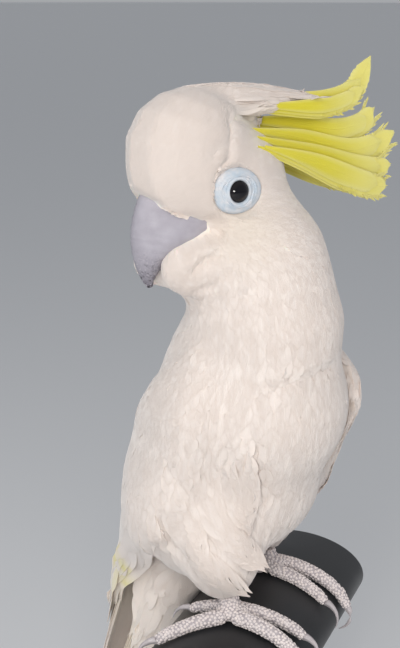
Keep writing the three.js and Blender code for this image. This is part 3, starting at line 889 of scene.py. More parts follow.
@dataclass
class Vanes:
    """A batch of feathers, each a spine of points with the direction that faces out at each.

    Attributes:
        spine: points along the shafts, as feathers, places, xyz.
        up: outward directions, as feathers, places, xyz.
        half: half of each feather's greatest width.
        lift: height of each spine point off the surface it was laid on.
        tint: each feather's colour, or one for each place along it.
    """

    spine: Array
    up: Array
    half: Array
    lift: Array
    tint: Array
    shape: VaneShape
    seed: int = 1

    def mesh(self, name: str) -> Piece:
        """The feathers as one mesh.

        Args:
            name: the piece's name.

        Returns:
            The piece, with its OFBake map and the values that its finish reads.
        """
        rng = np.random.default_rng(self.seed)
        shape, (count, places, _) = self.shape, self.spine.shape
        columns = shape.columns
        shares = np.linspace(0, 1, places)
        ahead = unit(np.gradient(self.spine, axis=1))
        up = flat_on(self.up, ahead)
        beside = np.cross(up, ahead)
        lanes = np.linspace(-1, 1, columns)
        width = self.half[:, None] * width_along(shares, shape)[None, :]
        notch = rng.uniform(0.3, 1, (count, places, columns)) * (np.arange(places) % 2)[None, :, None]
        notch = notch * smooth(shares, *shape.frays)[None, :, None] * lanes**4
        out = width[:, :, None] * lanes * (1 - shape.fringe * notch)
        wrap = (self.half**2)[:, None, None] / (2 * shape.wrap_radius)
        crown = (shape.camber + wrap) * (1 - lanes**2) * (width / self.half[:, None])[:, :, None]
        length = np.linalg.norm(self.spine[:, -1] - self.spine[:, 0], axis=1)
        tipward = smooth(shares, *shape.draws)[None, :, None]
        draw = -(lanes**2)[None, None, :] * shape.roundness * self.half[:, None, None] * tipward
        fray = rng.uniform(-1, 1, (count, 1, columns)) * shape.ragged * length[:, None, None] * tipward
        points = (
            self.spine[:, :, None, :]
            + beside[:, :, None, :] * out[..., None]
            + up[:, :, None, :] * (self.lift[:, :, None] + crown - wrap * lanes**2)[..., None]
            + ahead[:, :, None, :] * (draw + fray)[..., None]
        )
        under = points[:, :, [0, -1], :] - up[:, :, None, :] * shape.thickness
        piece = mesh_piece(name, *self._faces(points, under), smooth_angle=50)
        self._values(piece, rng, shares, lanes)
        facing = np.repeat(up[:, :, None, :], columns + 2, axis=2)
        facing[:, :, columns:] *= -1
        carry(piece, "lie", facing)
        return piece

    @staticmethod
    def _faces(points: Array, under: Array) -> tuple[Array, list[Array]]:
        """Joins upper and lower points into closed skins round each feather.

        Args:
            points: the upper points, as feathers, places, columns, xyz.
            under: the lower points of the two outer columns.

        Returns:
            All points in a row, and the faces as quads and end caps.
        """
        count, places, columns, _ = points.shape
        stride = columns + 2
        whole = np.concatenate([points, under], axis=2)
        at = np.arange(count * places * stride).reshape(count, places, stride)
        quads = []
        ring = [*range(columns), columns + 1, columns]
        for a, b in zip(ring, ring[1:] + ring[:1]):
            quads.append(np.stack([at[:, :-1, a], at[:, 1:, a], at[:, 1:, b], at[:, :-1, b]], axis=-1))
        root = at[:, 0][:, ring]
        tip = at[:, -1][:, ring[::-1]]
        faces = [np.concatenate([q.reshape(-1, 4) for q in quads]), np.concatenate([root, tip])]
        return whole.reshape(-1, 3), faces

    def _values(self, piece: Piece, rng: np.random.Generator, shares: Array, lanes: Array) -> None:
        """Gives a mesh of feathers its tint, its places on each vane and its OFBake map."""
        count, places = len(self.half), len(shares)
        across = np.concatenate([lanes, [-1, 1]])
        vane = np.empty((count, places, len(across), 3))
        vane[..., 0] = across
        vane[..., 1] = shares[None, :, None]
        vane[..., 2] = rng.uniform(0, 1, count)[:, None, None]
        tint = self.tint if self.tint.ndim == 3 else np.repeat(self.tint[:, None], places, axis=1)
        carry(piece, "vane", vane)
        carry(piece, "tint", np.repeat(tint[:, :, None], len(across), axis=2))
        patch = unwrap(self.spine[:, 0])[:, None, None, :] + PATCH * (vane[..., :2] * (0.5, 1) - (0, 0.5))
        write_bake_map(piece, patch.reshape(-1, 2))


# ---- How the plumage grows ----
@dataclass(frozen=True)
class Tract:
    """The size of the feathers round a place on the body."""

    place: Triple
    reach: float
    length: float
    half: float


def both_sides(rows: Sequence[tuple[Triple, float, float, float]], in_head: bool) -> list[Tract]:
    """Tracts for places on one side and for their mirror images on the other.

    Args:
        rows: the place, reach, length and half width of each.
        in_head: whether the places are given in the head's frame.

    Returns:
        The tracts.
    """
    made = []
    for (x, y, z), reach, length, half in rows:
        flip = (x, -y, z) if in_head else (-x, y, z)
        for row in {(x, y, z), flip}:
            place = tuple(HEAD.place([row])[0]) if in_head else row
            made.append(Tract(place, reach, length, half))
    return made


TRACTS = both_sides(
    [
        # forward, side, up on the head, then reach, length, half width
        ((36, 0, -8), 12, 4.2, 0.8), ((22, 20, -12), 11, 4.0, 0.75), ((8, 24, -8), 12, 3.6, 0.75),
        ((30, 0, 16), 17, 6.5, 1.3), ((0, 0, 26), 18, 11, 1.9), ((-8, 22, -16), 12, 7, 1.5),
        ((14, 13, -40), 12, 5.6, 1.2), ((-38, 0, 0), 22, 12, 2.6), ((-40, 0, 30), 18, 16, 2.2),
    ],
    in_head=True,
) + both_sides(
    [
        # x, y, z on the body, then reach, length, half width
        ((-3, -4, 168), 26, 12, 2.7), ((0, -20, 120), 34, 15, 3.5), ((0, -20, 65), 32, 19, 4.2),
        ((40, 0, 60), 18, 20, 3.6), ((0, 50, 110), 34, 16, 4.2), ((50, 15, 125), 20, 10, 2.6),
        ((50, 35, 80), 26, 15, 3.3), ((40, 60, 20), 26, 22, 5.0), ((0, 50, 15), 18, 15, 3.4),
        ((0, 46, -18), 18, 18, 4.0), ((28, 0, 20), 10, 8, 1.8),
    ],
    in_head=False,
)
TRACTS += [
    Tract(place, 8, 9, 1.7) for place in ((36, -28, 118), (35, -31, 103), (34, -28, 86), (33, -22, 70))
]
FAINT = 1e-7
LIFT_SHARE = 0.031
COAT_FLOOR = 0.5


def feather_size(points: Array) -> tuple[Array, Array]:
    """Size of the feathers rooted at points, flowing from tract to tract.

    Args:
        points: the roots.

    Returns:
        The length of each, and half of its width.
    """
    total = np.full(len(points), TINY)
    sums = np.zeros((len(points), 2))
    for tract in TRACTS:
        gap = np.linalg.norm(points - np.asarray(tract.place), axis=1)
        weight = np.exp(-((gap / tract.reach) ** 2)) + FAINT
        total += weight
        sums += weight[:, None] * np.log([tract.length, tract.half])
    length, half = np.exp(sums / total[:, None]).T
    return length, half


@dataclass(frozen=True)
class Fold:
    """A crease in the plumage, with one lip that may lie over the other.

    Attributes:
        path: places that the crease runs through.
        depth: how deep it is cut.
        half: half of its width.
        over: direction from the crease towards the lip that lies on top.
        rise: how high that lip stands.
        fade: how far the lip takes to sink back.
        ends: shares of the path over which the crease starts, and ends likewise.
        lip: how far over the crease the lip takes to rise.
    """

    path: tuple[Triple, ...]
    depth: float = 1.6
    half: float = 2.4
    over: Triple = (0, 0, 0)
    rise: float = 0.0
    fade: float = 9.0
    ends: Pair = (-0.02, 0.2)
    lip: float = 2.0

    def height(self, points: Array) -> Array:
        """How far the crease lifts the surface at points."""
        gap, share, _, place = near_path(points, self.path)
        ends = smooth(share, *self.ends) * smooth(1 - share, *self.ends)
        side = (points - place) @ unit(np.asarray(self.over, float))
        lip = self.rise * smooth(side, 0, self.lip) * np.exp(-((gap / self.fade) ** 2))
        return ends * (lip - self.depth * np.exp(-((gap / self.half) ** 2)))


@dataclass(frozen=True)
class Lobe:
    """A tongue of long feathers that hangs together and ends in a point."""

    path: tuple[Triple, ...]
    half: float
    rise: float
    length: float = 26.0
    gather: float = 0.9
    swell: float = 0.35

    def height(self, points: Array) -> Array:
        """How far the lobe lifts the surface at points."""
        gap, share, _, _ = near_path(points, self.path)
        return self.rise * np.exp(-((gap / self.half) ** 2)) * smooth(share, 0.0, self.swell)


HEAD_FOLDS = [
    fold
    for side in SIDES.values()
    for fold in (
        Fold(on_head((1, 13, 30), (6, 22, 17), (9, 25, 7), (15, 25, 2), (18, 25, -6), side=side), 1.6, 2.0),
        Fold(on_head((10, 20, 25), (-4, 15, 24), (-16, 12, 20), side=side), 1.6, 2.2),
        Fold(on_head((7, 23, 13), (15, 24, 12), (19, 24, 9), side=side), 0.8, 2.0),
        Fold(
            on_head((13, 26, -32), (16, 26, -35), (21, 22, -37), (26, 18, -42), (28, 12, -46), side=side),
            2.3, 2.0, tuple(HEAD.turn((0.2, 0, 1))), 1.2, 7.0,
        ),
        Fold(on_head((10, 33, -42), (16, 27, -44), side=side), 1.6, 1.8),
        Fold(on_head((14, 27, -48), (19, 21, -51), (24, 12, -51), side=side), 1.4, 2.2),
        Fold(on_head((3, 40, -51), (11, 31, -54), side=side), 1.3, 1.8),
    )
]
HEAD_FOLDS += [
    Fold(on_head((20, 20, -21), (15, 21, -24), (10, 22, -26), side=side), 2.4, 4.5) for side in SIDES.values()
]
PARTING = Fold(
    ((35, -24, 130), (35, -27, 120), (36, -30, 110), (35, -31, 100), (34, -29, 90), (32, -25, 80),
     (33, -19, 62)),
    8.0, 1.9, (1, 0.2, 0), 1.8, 7.0,
)
# painted shade: dark brown patches along the parting's crease, where the shadow between the breast and the
# far wing falls
MARKS_AND_PAINTED_SHADE += [
    Mark(tuple(spot), 2.2, Hue.SHADED, 0.8) for spot in along_path(PARTING.path, np.linspace(0.08, 0.92, 22))
]
BODY_FOLDS = [
    Fold(((13, -41, 131), (-4, -43, 130), (-15, -41, 128), (-23, -36, 126), (-34, -27, 122)), 1.6, 2.2,
         (0, 0, 1), 1.1, 12.0),
    Fold(((-23, -37, 146), (-19, -39, 140), (-19, -38, 132), (-23, -36, 126)), 1.0, 2.2, (-1, 0.6, 0), 0.4),
    Fold(((-17, -43, 109), (-25, -38, 112), (-32, -33, 112)), 0.7, 2.4),
    Fold(((-37, -28, 106), (-35, -30, 94), (-28, -27, 77), (-25, -25, 67), (-28, -22, 59), (-33, -21, 50)),
         2.2, 2.0, (-1, 0.6, 0), 2.0, 9.0),
    Fold(((-41, -21, 97), (-40, -17, 87), (-40, -12, 77)), 1.6, 2.0, (1, -1, 0), 0.9),
    Fold(((-57, 9, 92), (-57, 5, 82), (-53, -2, 73), (-47, -7, 54), (-39, -18, 40)), 1.6, 2.4),
    Fold(((-60, 10, 63), (-49, 9, 43), (-48, -4, 34)), 1.6, 2.4),
    PARTING,
]
LOBES = [
    Lobe(((-40, -20, 92), (-33, -22, 68), (-33, -22, 51)), 7.0, 1.5, 22.0),
    Lobe(((-43, -6, 78), (-39, -13, 58), (-34, -23, 43), (-25, -29, 33)), 7.0, 2.2, 26.0),
    Lobe(((-56, 3, 74), (-49, -2, 48), (-44, -14, 32), (-28, -22, 20)), 7.5, 2.2, 28.0),
    Lobe(((-60, 20, 60), (-52, 9, 34), (-37, -5, 12)), 7.0, 2.4),
    Lobe(((-59, 30, 46), (-51, 22, 22), (-39, 9, 3)), 7.0, 2.4),
    Lobe(((-57, 42, 30), (-49, 35, 6), (-39, 25, -14)), 7.0, 2.2),
]
POINTED_LOBES = LOBES[:3]


@dataclass(frozen=True)
class Sweep:
    """A place where the feathers turn towards a direction of their own."""

    place: Triple
    reach: float
    heading: Triple


SWEEPS = [
    sweep
    for side in SIDES.values()
    for sweep in (
        Sweep(on_head((16, 13, -40), side=side)[0], 12, tuple(1.8 * HEAD.turn((0.9, 0, -1)))),
        Sweep(on_head((-16, 8, 26), side=side)[0], 14, tuple(HEAD.turn((-1.2, 0, 0.1)))),
        Sweep(on_head((-38, 3, 31), side=side)[0], 14, tuple(3 * HEAD.turn((-1, 0, -0.3)))),
        Sweep((28 * side, 5, 24), 14, (0, -0.3, -1)),
        Sweep((40 * side, 10, 50), 22, (-0.3 * side, -0.9, -1)),
    )
]


# how far up and down the body's line is read, the heights between which the flow turns from the body's to the
# head's, and how strongly and widely a lobe draws it
FLOW_STEP = 4.0
HEAD_FLOW = (172.0, 200.0)
LOBE_DRAW = 1.8
LOBE_REACH = 1.5


def lie(points: Array, normals: Array) -> Array:
    """The way the feathers point: back from the bill over the head, then down the body.

    Args:
        points: places on the skin.
        normals: its outward direction at each.

    Returns:
        A direction for each, flat on the skin.
    """
    z = points[:, 2]
    down = unit(middle_at(z - FLOW_STEP) - middle_at(z + FLOW_STEP))
    back = unit(points - BILL_ROOT)
    share = smooth(z, *HEAD_FLOW)[:, None]
    flow = down * (1 - share) + back * share
    for sweep in SWEEPS:
        gap = np.linalg.norm(points - np.asarray(sweep.place), axis=1)
        flow += np.exp(-((gap / sweep.reach) ** 2))[:, None] * np.asarray(sweep.heading)
    for lobe in LOBES:
        gap, _, heading, _ = near_path(points, lobe.path)
        flow += LOBE_DRAW * np.exp(-((gap / (LOBE_REACH * lobe.half)) ** 2))[:, None] * heading
    return flat_on(flow, normals)


# the tail's root behind and above the bar, and how far it reaches back for each millimetre down
TAIL_BACK = 58.0
TAIL_UP = 2.0
TAIL_SLOPE = 0.4
# the plumage under it: half of its width, its gap to the tail and its highest place
UNDERTAIL = (26.0, 7.0, 24.0)


def before_tail(points: Array) -> Array:
    """Which points lie on the plumage that hangs under the tail's root, in front of the tail."""
    (x, y, z), (half, gap, top) = points.T, UNDERTAIL
    return (np.abs(x) < half) & (y < TAIL_BACK + TAIL_SLOPE * (TAIL_UP - z) - gap) & (z < top)


@dataclass
class Skin:
    """One seamless surface in place of the solids of flesh, sunk below them by the depth of the coat."""

    voxel: float = 1.7
    bridge: float = 3.0
    smoothing: int = 7
    body_smoothing: int = 66
    last_smoothing: int = 3
    # heights over which the body's own smoothing sets in and ends
    smooth_from: Pair = (4, 30)
    smooth_to: Pair = (128, 152)
    fills: tuple[tuple[Triple, Triple], ...] = (
        # middle and radii, forward, side and up: the folds over the bill's sides, and the chin between them
        ((16, 11.5, -42), (21.5, 11.0, 15.1)),
        ((16, -11.5, -42), (21.5, 11.0, 15.1)),
        ((12, 0, -47), (17.6, 12.6, 12.1)),
    )
    # the hollow behind the bill: its depth, place and reach forward and up, and where it starts to the side
    hollow: float = 4.0
    hollow_place: Pair = (17, -24)
    hollow_reach: Pair = (10.5, 4.7)
    hollow_side: float = 8.0
    # up, then how far forward the brow may reach there
    brow: tuple[Pair, ...] = ((-16, 35.5), (-11, 38), (-7, 41.8), (-1, 46), (5, 54))
    # the brow's bend back to the sides, the share drawn back, and the heights where that sets in and ends
    brow_bend: float = 0.012
    brow_share: float = 0.9
    brow_from: Pair = (-22, -15)
    brow_to: Pair = (-2, 8)
    flesh: tuple[str, ...] = (
        *("head", "crown", "neck", "breast", "belly", "undertail"),
        *(f"{part}_{side}" for side in SIDES for part in ("thigh", "wing_upper")),
    )

    def build(self) -> Piece:
        """Joins the solids of flesh, closes the gaps between them and sinks and folds the surface.

        Returns:
            The skin.
        """
        piece = copy_of(self.flesh, "skin")
        self._fill(piece)
        apply_modifier(piece, "DISPLACE", strength=self.bridge * MM, mid_level=0.0)
        apply_modifier(piece, "REMESH", mode="VOXEL", voxel_size=self.voxel * MM)
        keep_largest(piece)
        apply_modifier(piece, "SMOOTH", factor=0.5, iterations=self.smoothing)
        points = points_of(piece)
        z = points[:, 2]
        full = np.maximum(smooth(z, *self.smooth_from), before_tail(points))
        share = (1 - smooth(z, *self.smooth_to)) * full
        group = piece.vertex_groups.new(name="body")
        for i in np.flatnonzero(share > 0.01).tolist():
            group.add([i], share[i], "REPLACE")
        apply_modifier(piece, "SMOOTH", factor=0.5, iterations=self.body_smoothing, vertex_group="body")
        points = points_of(piece)
        length, _ = feather_size(points)
        sunk = self.bridge + COAT_FLOOR + LIFT_SHARE * length
        move_points(piece, self._draw_back(points - normals_of(piece) * sunk[:, None]))
        apply_modifier(piece, "SMOOTH", factor=0.5, iterations=self.last_smoothing)
        points = points_of(piece)
        height = sum(form.height(points) for form in (*HEAD_FOLDS, *BODY_FOLDS, *LOBES))
        move_points(piece, points + normals_of(piece) * height[:, None])
        bpy.ops.object.shade_smooth()
        carry(piece, "tint", markings_and_painted_shade(points))
        return piece

    def _draw_back(self, points: Array) -> Array:
        """Draws the brow over the bill back to its own profile and hollows the face behind the bill.

        Args:
            points: the skin's points.

        Returns:
            The points moved.
        """
        local = HEAD.read(points)
        forward, side, up = local.T
        over = forward - (np.interp(up, *np.array(self.brow).T) - self.brow_bend * side**2)
        back = self.brow_share * np.clip(over, 0, None)
        local[:, 0] -= back * smooth(up, *self.brow_from) * (1 - smooth(up, *self.brow_to))
        (place, height), (long, tall) = self.hollow_place, self.hollow_reach
        near = np.exp(-(((forward - place) / long) ** 2) - ((up - height) / tall) ** 2)
        local[:, 1] -= self.hollow * near * np.sign(side) * (np.abs(side) > self.hollow_side)
        return HEAD.place(local)

    def _fill(self, piece: Piece) -> None:
        """Adds full round masses to the skin where the bill's sockets leave the solids thin."""
        turn = Matrix(HEAD.axes.T.tolist()).to_euler()
        for middle, radii in self.fills:
            deselect_all()
            place = to_world(HEAD.place([middle]))[0]
            bpy.ops.mesh.primitive_uv_sphere_add(
                segments=32, ring_count=20, radius=MM, location=place, rotation=turn
            )
            mass = bpy.context.object
            mass.scale = radii
            bpy.ops.object.transform_apply(location=True, rotation=True, scale=True)
            piece.select_set(True)
            bpy.context.view_layer.objects.active = piece
            bpy.ops.object.join()


def lay(
    tree: BVHTree, roots: Array, heading: Array, length: Array, places: int, cling: Array, edge: Array
) -> tuple[Array, Array]:
    """Lays spines over a surface, each following it but standing off where it bends away fast.

    Args:
        tree: the surface.
        roots: where the spines start.
        heading: the way each starts out.
        length: the length of each.
        places: points to a spine.
        cling: how far each is drawn back to a surface that bends away, as a share of its steps.
        edge: cosine of the turn in the surface past which a spine runs straight on.

    Returns:
        The spines, and the outward direction at each of their points.
    """
    spine = np.empty((len(roots), places, 3))
    up = np.empty_like(spine)
    for i, (root, ahead, reach, hold, turn) in enumerate(zip(roots, heading, length, cling, edge)):
        step = reach / (places - 1)
        spot, way = Vector(root), Vector(ahead)
        facing = tree.find_nearest(spot)[1]
        for k in range(places):
            spine[i, k] = spot
            up[i, k] = facing
            trial = spot + way * step
            near, face, _, _ = tree.find_nearest(trial)
            off = (trial - near).dot(face)
            if facing.dot(face) < turn:
                spot = trial
                continue
            spot = trial - face * (off if off < 0 else min(off, hold * step))
            facing = (facing + face).normalized()
            way = (way - facing * way.dot(facing)).normalized()
    return spine, up


@dataclass(frozen=True)
class Eye:
    """Where an eye sits: its middle at the level of the bare skin, and the way that it looks."""

    side: int
    forward: float = 5.0
    out: float = 25.8
    up: float = -7.3
    turn: float = 10.0
    radius: float = 7.0
    sink: float = 4.7
    skin_radius: float = 10.2
    flattening: float = 0.84
    depth: float = 13.0

    @property
    def middle(self) -> Array:
        """The middle of the opening, in the bird's frame."""
        return HEAD.place([(self.forward, self.side * self.out, self.up)])[0]

    @property
    def outward(self) -> Array:
        """The way that the eye looks."""
        turn = math.radians(self.turn)
        return HEAD.turn((math.sin(turn), self.side * math.cos(turn), 0))

    def beside(self, points: Array) -> Array:
        """How far points lie to the side of the eye's line of sight.

        Args:
            points: the points.

        Returns:
            The distances, without end for points far from the eye along its line.
        """
        arm = points - self.middle
        ahead = arm @ self.outward
        flat = arm - ahead[:, None] * self.outward
        gap = np.linalg.norm(flat / (1, 1, self.flattening), axis=1)
        return np.where(np.abs(ahead) < self.depth, gap, np.inf)


EYES = {name: Eye(side) for name, side in SIDES.items()}


# name, lowest and highest root
REGIONS = (
    ("head", 206, 400), ("throat", 176, 206), ("neck", 140, 176), ("breast", 98, 140), ("belly", 50, 98),
    ("rump", -200, 50),
)


@dataclass
class Coat:
    """The contour feathers over the whole skin."""

    skin: Piece
    bare: list[BVHTree]
    spacing: float = 0.96
    tries: float = 3.2
    length_spread: Pair = (0.85, 1.15)
    lift_spread: Pair = (0.9, 1.1)
    root_lift: float = 0.1
    yaw: float = 6.0
    seed: int = 7
    small_below: float = 9.5
    large: VaneShape = VaneShape()
    small: VaneShape = VaneShape(columns=3, camber=0.1, ragged=0.12, roundness=0.7, thickness=0.16)
    # how closely feathers follow the skin, how much of that is lost low down, and where
    cling: float = 0.75
    cling_lost: float = 0.65
    cling_lost_over: Pair = (-12, 8)
    # below this height large feathers run on past an edge of the skin, and tips may stand off it
    free_below: float = 34.0
    free_edge: float = 0.7
    farthest_tip: float = 0.8
    # the skin under the wings: from how far out, how far back and how high up it goes
    under_wing: Triple = (22, 10, 16)
    # the skin at the tail's root: how high it reaches, or how far it faces down and how far back it starts
    at_tail: Triple = (-16, -0.35, 24)
    # the skin inside the crest: where it starts backward and up, and how far it faces back
    in_crest: Triple = (-34, 18, 0.3)
    # the horn's own place: from which height, how near and how far off it the skin may turn
    at_bill: Triple = (150, 12, 0.15)
    parting_share: float = 1.1
    # how far roots and tips may reach over the bare skin round the eyes
    over_ring: Pair = (0.3, 1.4)

    def roots(self, rng: np.random.Generator) -> tuple[Array, Array]:
        """Scatters roots over the skin, closer together where the feathers are smaller.

        Args:
            rng: the source of chance.

        Returns:
            The roots and the skin's outward direction at each.
        """
        corners = triangles_of(self.skin)
        points, normals = points_of(self.skin), normals_of(self.skin)
        a, b, c = (points[corners[:, k]] for k in range(3))
        area = np.linalg.norm(np.cross(b - a, c - a), axis=1) / 2
        _, half = feather_size((a + b + c) / 3)
        share = area / (self.spacing * half) ** 2
        tries = int(self.tries * share.sum())
        pick = rng.choice(len(corners), tries, p=share / share.sum())
        r, s = np.sqrt(rng.random(tries))[:, None], rng.random(tries)[:, None]
        weights = np.stack([1 - r, r * (1 - s), r * s], axis=1)
        spots = (points[corners[pick]] * weights).sum(axis=1)
        facing = unit((normals[corners[pick]] * weights).sum(axis=1))
        kept = thin(spots, self.spacing * feather_size(spots)[1])
        return spots[kept], facing[kept]

    def _seen(self, roots: Array, facing: Array, tips: Array) -> Array:
        """Finds feathers clear of the eyes, the bill, the parting, the crest and the flight feathers' ends.

        Args:
            roots: where they grow.
            facing: the skin's outward direction at each.
            tips: where they would end.

        Returns:
            Whether each stands clear.
        """
        _, y, z = roots.T
        out, back, top = self.under_wing
        clear = ~((np.abs((roots - middle_at(z))[:, 0]) > out) & (y > back) & (z < top))
        low, down, back = self.at_tail
        clear = (clear & ~((z < low) | ((facing[:, 2] < down) & (y > back)))) | before_tail(roots)
        forward, _, up = HEAD.read(roots).T
        first, low, share = self.in_crest
        clear &= ~((forward < first) & (up > low) & (facing @ HEAD.turn((-1, 0, 0)) > share))
        clear &= near_path(roots, PARTING.path)[0] > self.parting_share * PARTING.half
        for eye in EYES.values():
            inner, outer = (eye.skin_radius - over for over in self.over_ring)
            clear &= (eye.beside(roots) > inner) & (eye.beside(tips) > outer)
        low, near, off = self.at_bill
        for tree in self.bare:
            for i in np.flatnonzero(clear & (z > low)):
                place, face, _, gap = tree.find_nearest(Vector(roots[i]))
                if gap < near and (Vector(roots[i]) - place).dot(face) < off:
                    clear[i] = False
        return clear

    def build(self) -> list[Piece]:
        """Grows the coat.

        Returns:
            Its pieces, split by region and side.
        """
        rng = np.random.default_rng(self.seed)
        roots, facing = self.roots(rng)
        length, half = feather_size(roots)
        length = length * rng.uniform(*self.length_spread, len(roots))
        heading = lie(roots, facing)
        turn = np.radians(rng.normal(0, self.yaw, len(roots)))[:, None]
        heading = unit(heading * np.cos(turn) + np.cross(facing, heading) * np.sin(turn))
        clear = self._seen(roots, facing, roots + heading * length[:, None])
        roots, heading, length, half = (a[clear] for a in (roots, heading, length, half))
        tree = search_tree(self.skin)
        pieces = []
        out, z = (roots - middle_at(roots[:, 2]))[:, 0], roots[:, 2]
        for region, low, high in REGIONS:
            for name, side in SIDES.items():
                picked = np.flatnonzero((z >= low) & (z < high) & (out * side >= 0))
                is_small = length[picked].mean() < self.small_below
                shape, places = (self.small, 5) if is_small else (self.large, 6)
                cling = self.cling - self.cling_lost * smooth(-z[picked], *self.cling_lost_over)
                free = z[picked] < self.free_below
                edge = np.where(free & (not is_small), self.free_edge, -1.0)
                spine, up = lay(tree, roots[picked], heading[picked], length[picked], places, cling, edge)
                gone = np.array([tree.find_nearest(Vector(tip))[3] for tip in spine[:, -1]])
                far = (gone > self.farthest_tip) & (z[picked] > self.free_below)
                again = picked[far]
                spine[far], up[far] = lay(
                    tree, roots[again], heading[again], length[again], places, np.ones(len(again)), edge[far]
                )
                shares = np.linspace(0, 1, places)
                top = LIFT_SHARE * length[picked] * rng.uniform(*self.lift_spread, len(picked))
                lift = self.root_lift + top[:, None] * shares[None, :] ** 0.9
                vanes = Vanes(spine, up, half[picked], lift, markings_and_painted_shade(roots[picked]), shape, self.seed)
                pieces.append(vanes.mesh(f"coat_{region}_{name}"))
        return pieces


@dataclass
class LobeFeathers:
    """Long soft feathers laid over the three pointed lobes of the flank, drawn together to their points."""

    tree: BVHTree
    rows: int = 10
    abreast: int = 9
    places: int = 9
    half: float = 3.6
    first_row: float = 0.05
    lane_jitter: float = 0.15
    # how far a feather may stand off the skin to follow its lobe
    farthest: float = 16.0
    # how deep the roots sink, how much of that is regained and by which share, then the tips' rise
    sink: float = 0.9
    regain: float = 1.5
    regain_by: float = 0.4
    rise: Pair = (1.4, 1.2)
    shape: VaneShape = VaneShape(root=0.15, tip_start=0.45, tip=0.16, roundness=1.0, ragged=0.04, camber=0.2)
    seed: int = 11

    def build(self) -> Piece:
        """Lays the feathers of every lobe.

        Returns:
            One piece.
        """
        rng = np.random.default_rng(self.seed)
        spines, ups, lifts, halves = [], [], [], []
        t = np.linspace(0, 1, self.places)
        for lobe in POINTED_LOBES:
            path = np.asarray(lobe.path, float)
            span = lobe.length / np.linalg.norm(np.diff(path, axis=0), axis=1).sum()
            for row in range(self.rows):
                last = row / (self.rows - 1)
                start = self.first_row + (1 - span - self.first_row) * last
                for lane in np.linspace(-1, 1, self.abreast):
                    lane = lane + rng.uniform(-self.lane_jitter, self.lane_jitter)
                    end = start + span * rng.uniform(0.85, 1.0)
                    line = along_path(path, np.linspace(start, end, self.places))
                    spine, up = self._spine(lobe, line, lane, last)
                    spines.append(spine)
                    ups.append(up)
                    rise = self.rise[0] + self.rise[1] * last + rng.uniform(-0.2, 0.2)
                    lifts.append(-self.sink + self.regain * smooth(t, 0, self.regain_by) + t * rise)
                    halves.append(self.half * rng.uniform(0.85, 1.1) * (1 - 0.25 * last))
        roots = np.array([spine[0] for spine in spines])
        vanes = Vanes(*map(np.array, (spines, ups, halves, lifts)), markings_and_painted_shade(roots), self.shape, self.seed)
        return vanes.mesh("coat_flank_lobes")

    def _spine(self, lobe: Lobe, line: Array, lane: float, last: float) -> tuple[Array, Array]:
        """Lays one feather beside a lobe's own line.

        Args:
            lobe: the lobe.
            line: points on its line beside the feather.
            lane: how far across the lobe the feather lies, from -1 to 1.
            last: how near its row is to the point, from 0 to 1.

        Returns:
            The spine, and the outward direction at each of its points.
        """
        ahead = unit(np.gradient(line, axis=0))
        spine, up = np.empty_like(line), np.empty_like(line)
        for k, place in enumerate(line):
            near, face, _, _ = self.tree.find_nearest(Vector(place))
            beside = np.cross(np.array(face), ahead[k])
            draw = 1 - lobe.gather * (0.4 + 0.6 * last) * smooth(k / (self.places - 1), 0.1, 1.0)
            spot = np.array(near) + beside * lane * lobe.half * 0.95 * draw
            near, face, _, _ = self.tree.find_nearest(Vector(spot))
            off = (Vector(place) - near).dot(face)
            spine[k] = np.array(near) + np.array(face) * max(0.0, min(off, self.farthest)) * last
            up[k] = face
        spine[1:-1] = (spine[:-2] + 2 * spine[1:-1] + spine[2:]) / 4
        return spine, up


# ---- Wings and tail ----
# where a wing's layer starts to narrow and over which share of its length, the least square of its width, and
# how much lower its back edge hangs for each degree
TIP_FROM = 0.8
TIP_LONG = 0.2
TIP_LEAST = 0.03
EDGE_DROP = 0.15


@dataclass(frozen=True)
class WingLayer:
    """The reach of one layer of a folded wing round the body.

    Attributes:
        top: height of its upper end.
        bottom: height of its lower end.
        front: degrees from the bird's side to the front edge, at the top, middle and bottom.
        back: the same for the back edge.
    """

    top: float
    bottom: float
    front: Triple
    back: Triple

    def spots(self, shares: Array, across: Array, tuck: float) -> tuple[Array, Array]:
        """Heights and degrees round the body of places on the layer.

        Args:
            shares: how far down the layer each place is.
            across: how far it is from the layer's middle, -1 at the front edge and 1 at the back.
            tuck: degrees by which the front edge is held back.

        Returns:
            Heights above the bar, and degrees from the bird's side towards its back.
        """
        first, last = self._edge(self.front, shares) + tuck, self._edge(self.back, shares)
        half = (last - first) / 2
        narrow = np.sqrt(np.maximum(1 - np.clip((shares - TIP_FROM) / TIP_LONG, 0, 1) ** 2, TIP_LEAST))
        heights = self.top + (self.bottom - self.top) * shares - EDGE_DROP * half * across
        return heights, (first + last) / 2 + half * narrow * across

    @staticmethod
    def _edge(values: Triple, share: Array) -> Array:
        """An edge's degrees, on a curve through the three that are given."""
        top, middle, bottom = values
        bend = 2 * middle - (top + bottom) / 2
        return top * (1 - share) ** 2 + 2 * bend * share * (1 - share) + bottom * share**2


FAR_OUT = 130.0
LOWER_LAYER = WingLayer(66, -106, (-4, 14, 26), (72, 82, 66))
UPPER_LAYER = WingLayer(141, -30, (-22, -40, 22), (20, 82, 82))
WING_TUCK = {"left": 8.0, "right": 24.0}


@dataclass(frozen=True)
class WingRow:
    """A row of flight feathers, from the front of the folded wing to its back edge.

    Attributes:
        count: feathers in the row.
        down: shares of the layer's length at the roots and at the tips.
        back_short: how much shorter the last feather is, as a share of the layer's length.
        lanes: where the first and last feathers lie across the layer, from -1 to 1.
        half: half width of a feather.
        rise: how much higher each feather lies than the one in front of it.
        base: height of the first feather off the surface.
    """

    name: str
    layer: WingLayer
    count: int
    down: Pair
    back_short: float
    lanes: Pair
    half: float
    rise: float
    base: float


WING_ROWS = (
    WingRow("primaries", LOWER_LAYER, 10, (0.2, 1.0), 0.1, (-0.72, 0.8), 7.6, 0.14, -1.6),
    WingRow("secondaries", UPPER_LAYER, 13, (0.55, 1.0), -0.02, (-0.85, 0.88), 8.0, 0.1, -0.9),
)


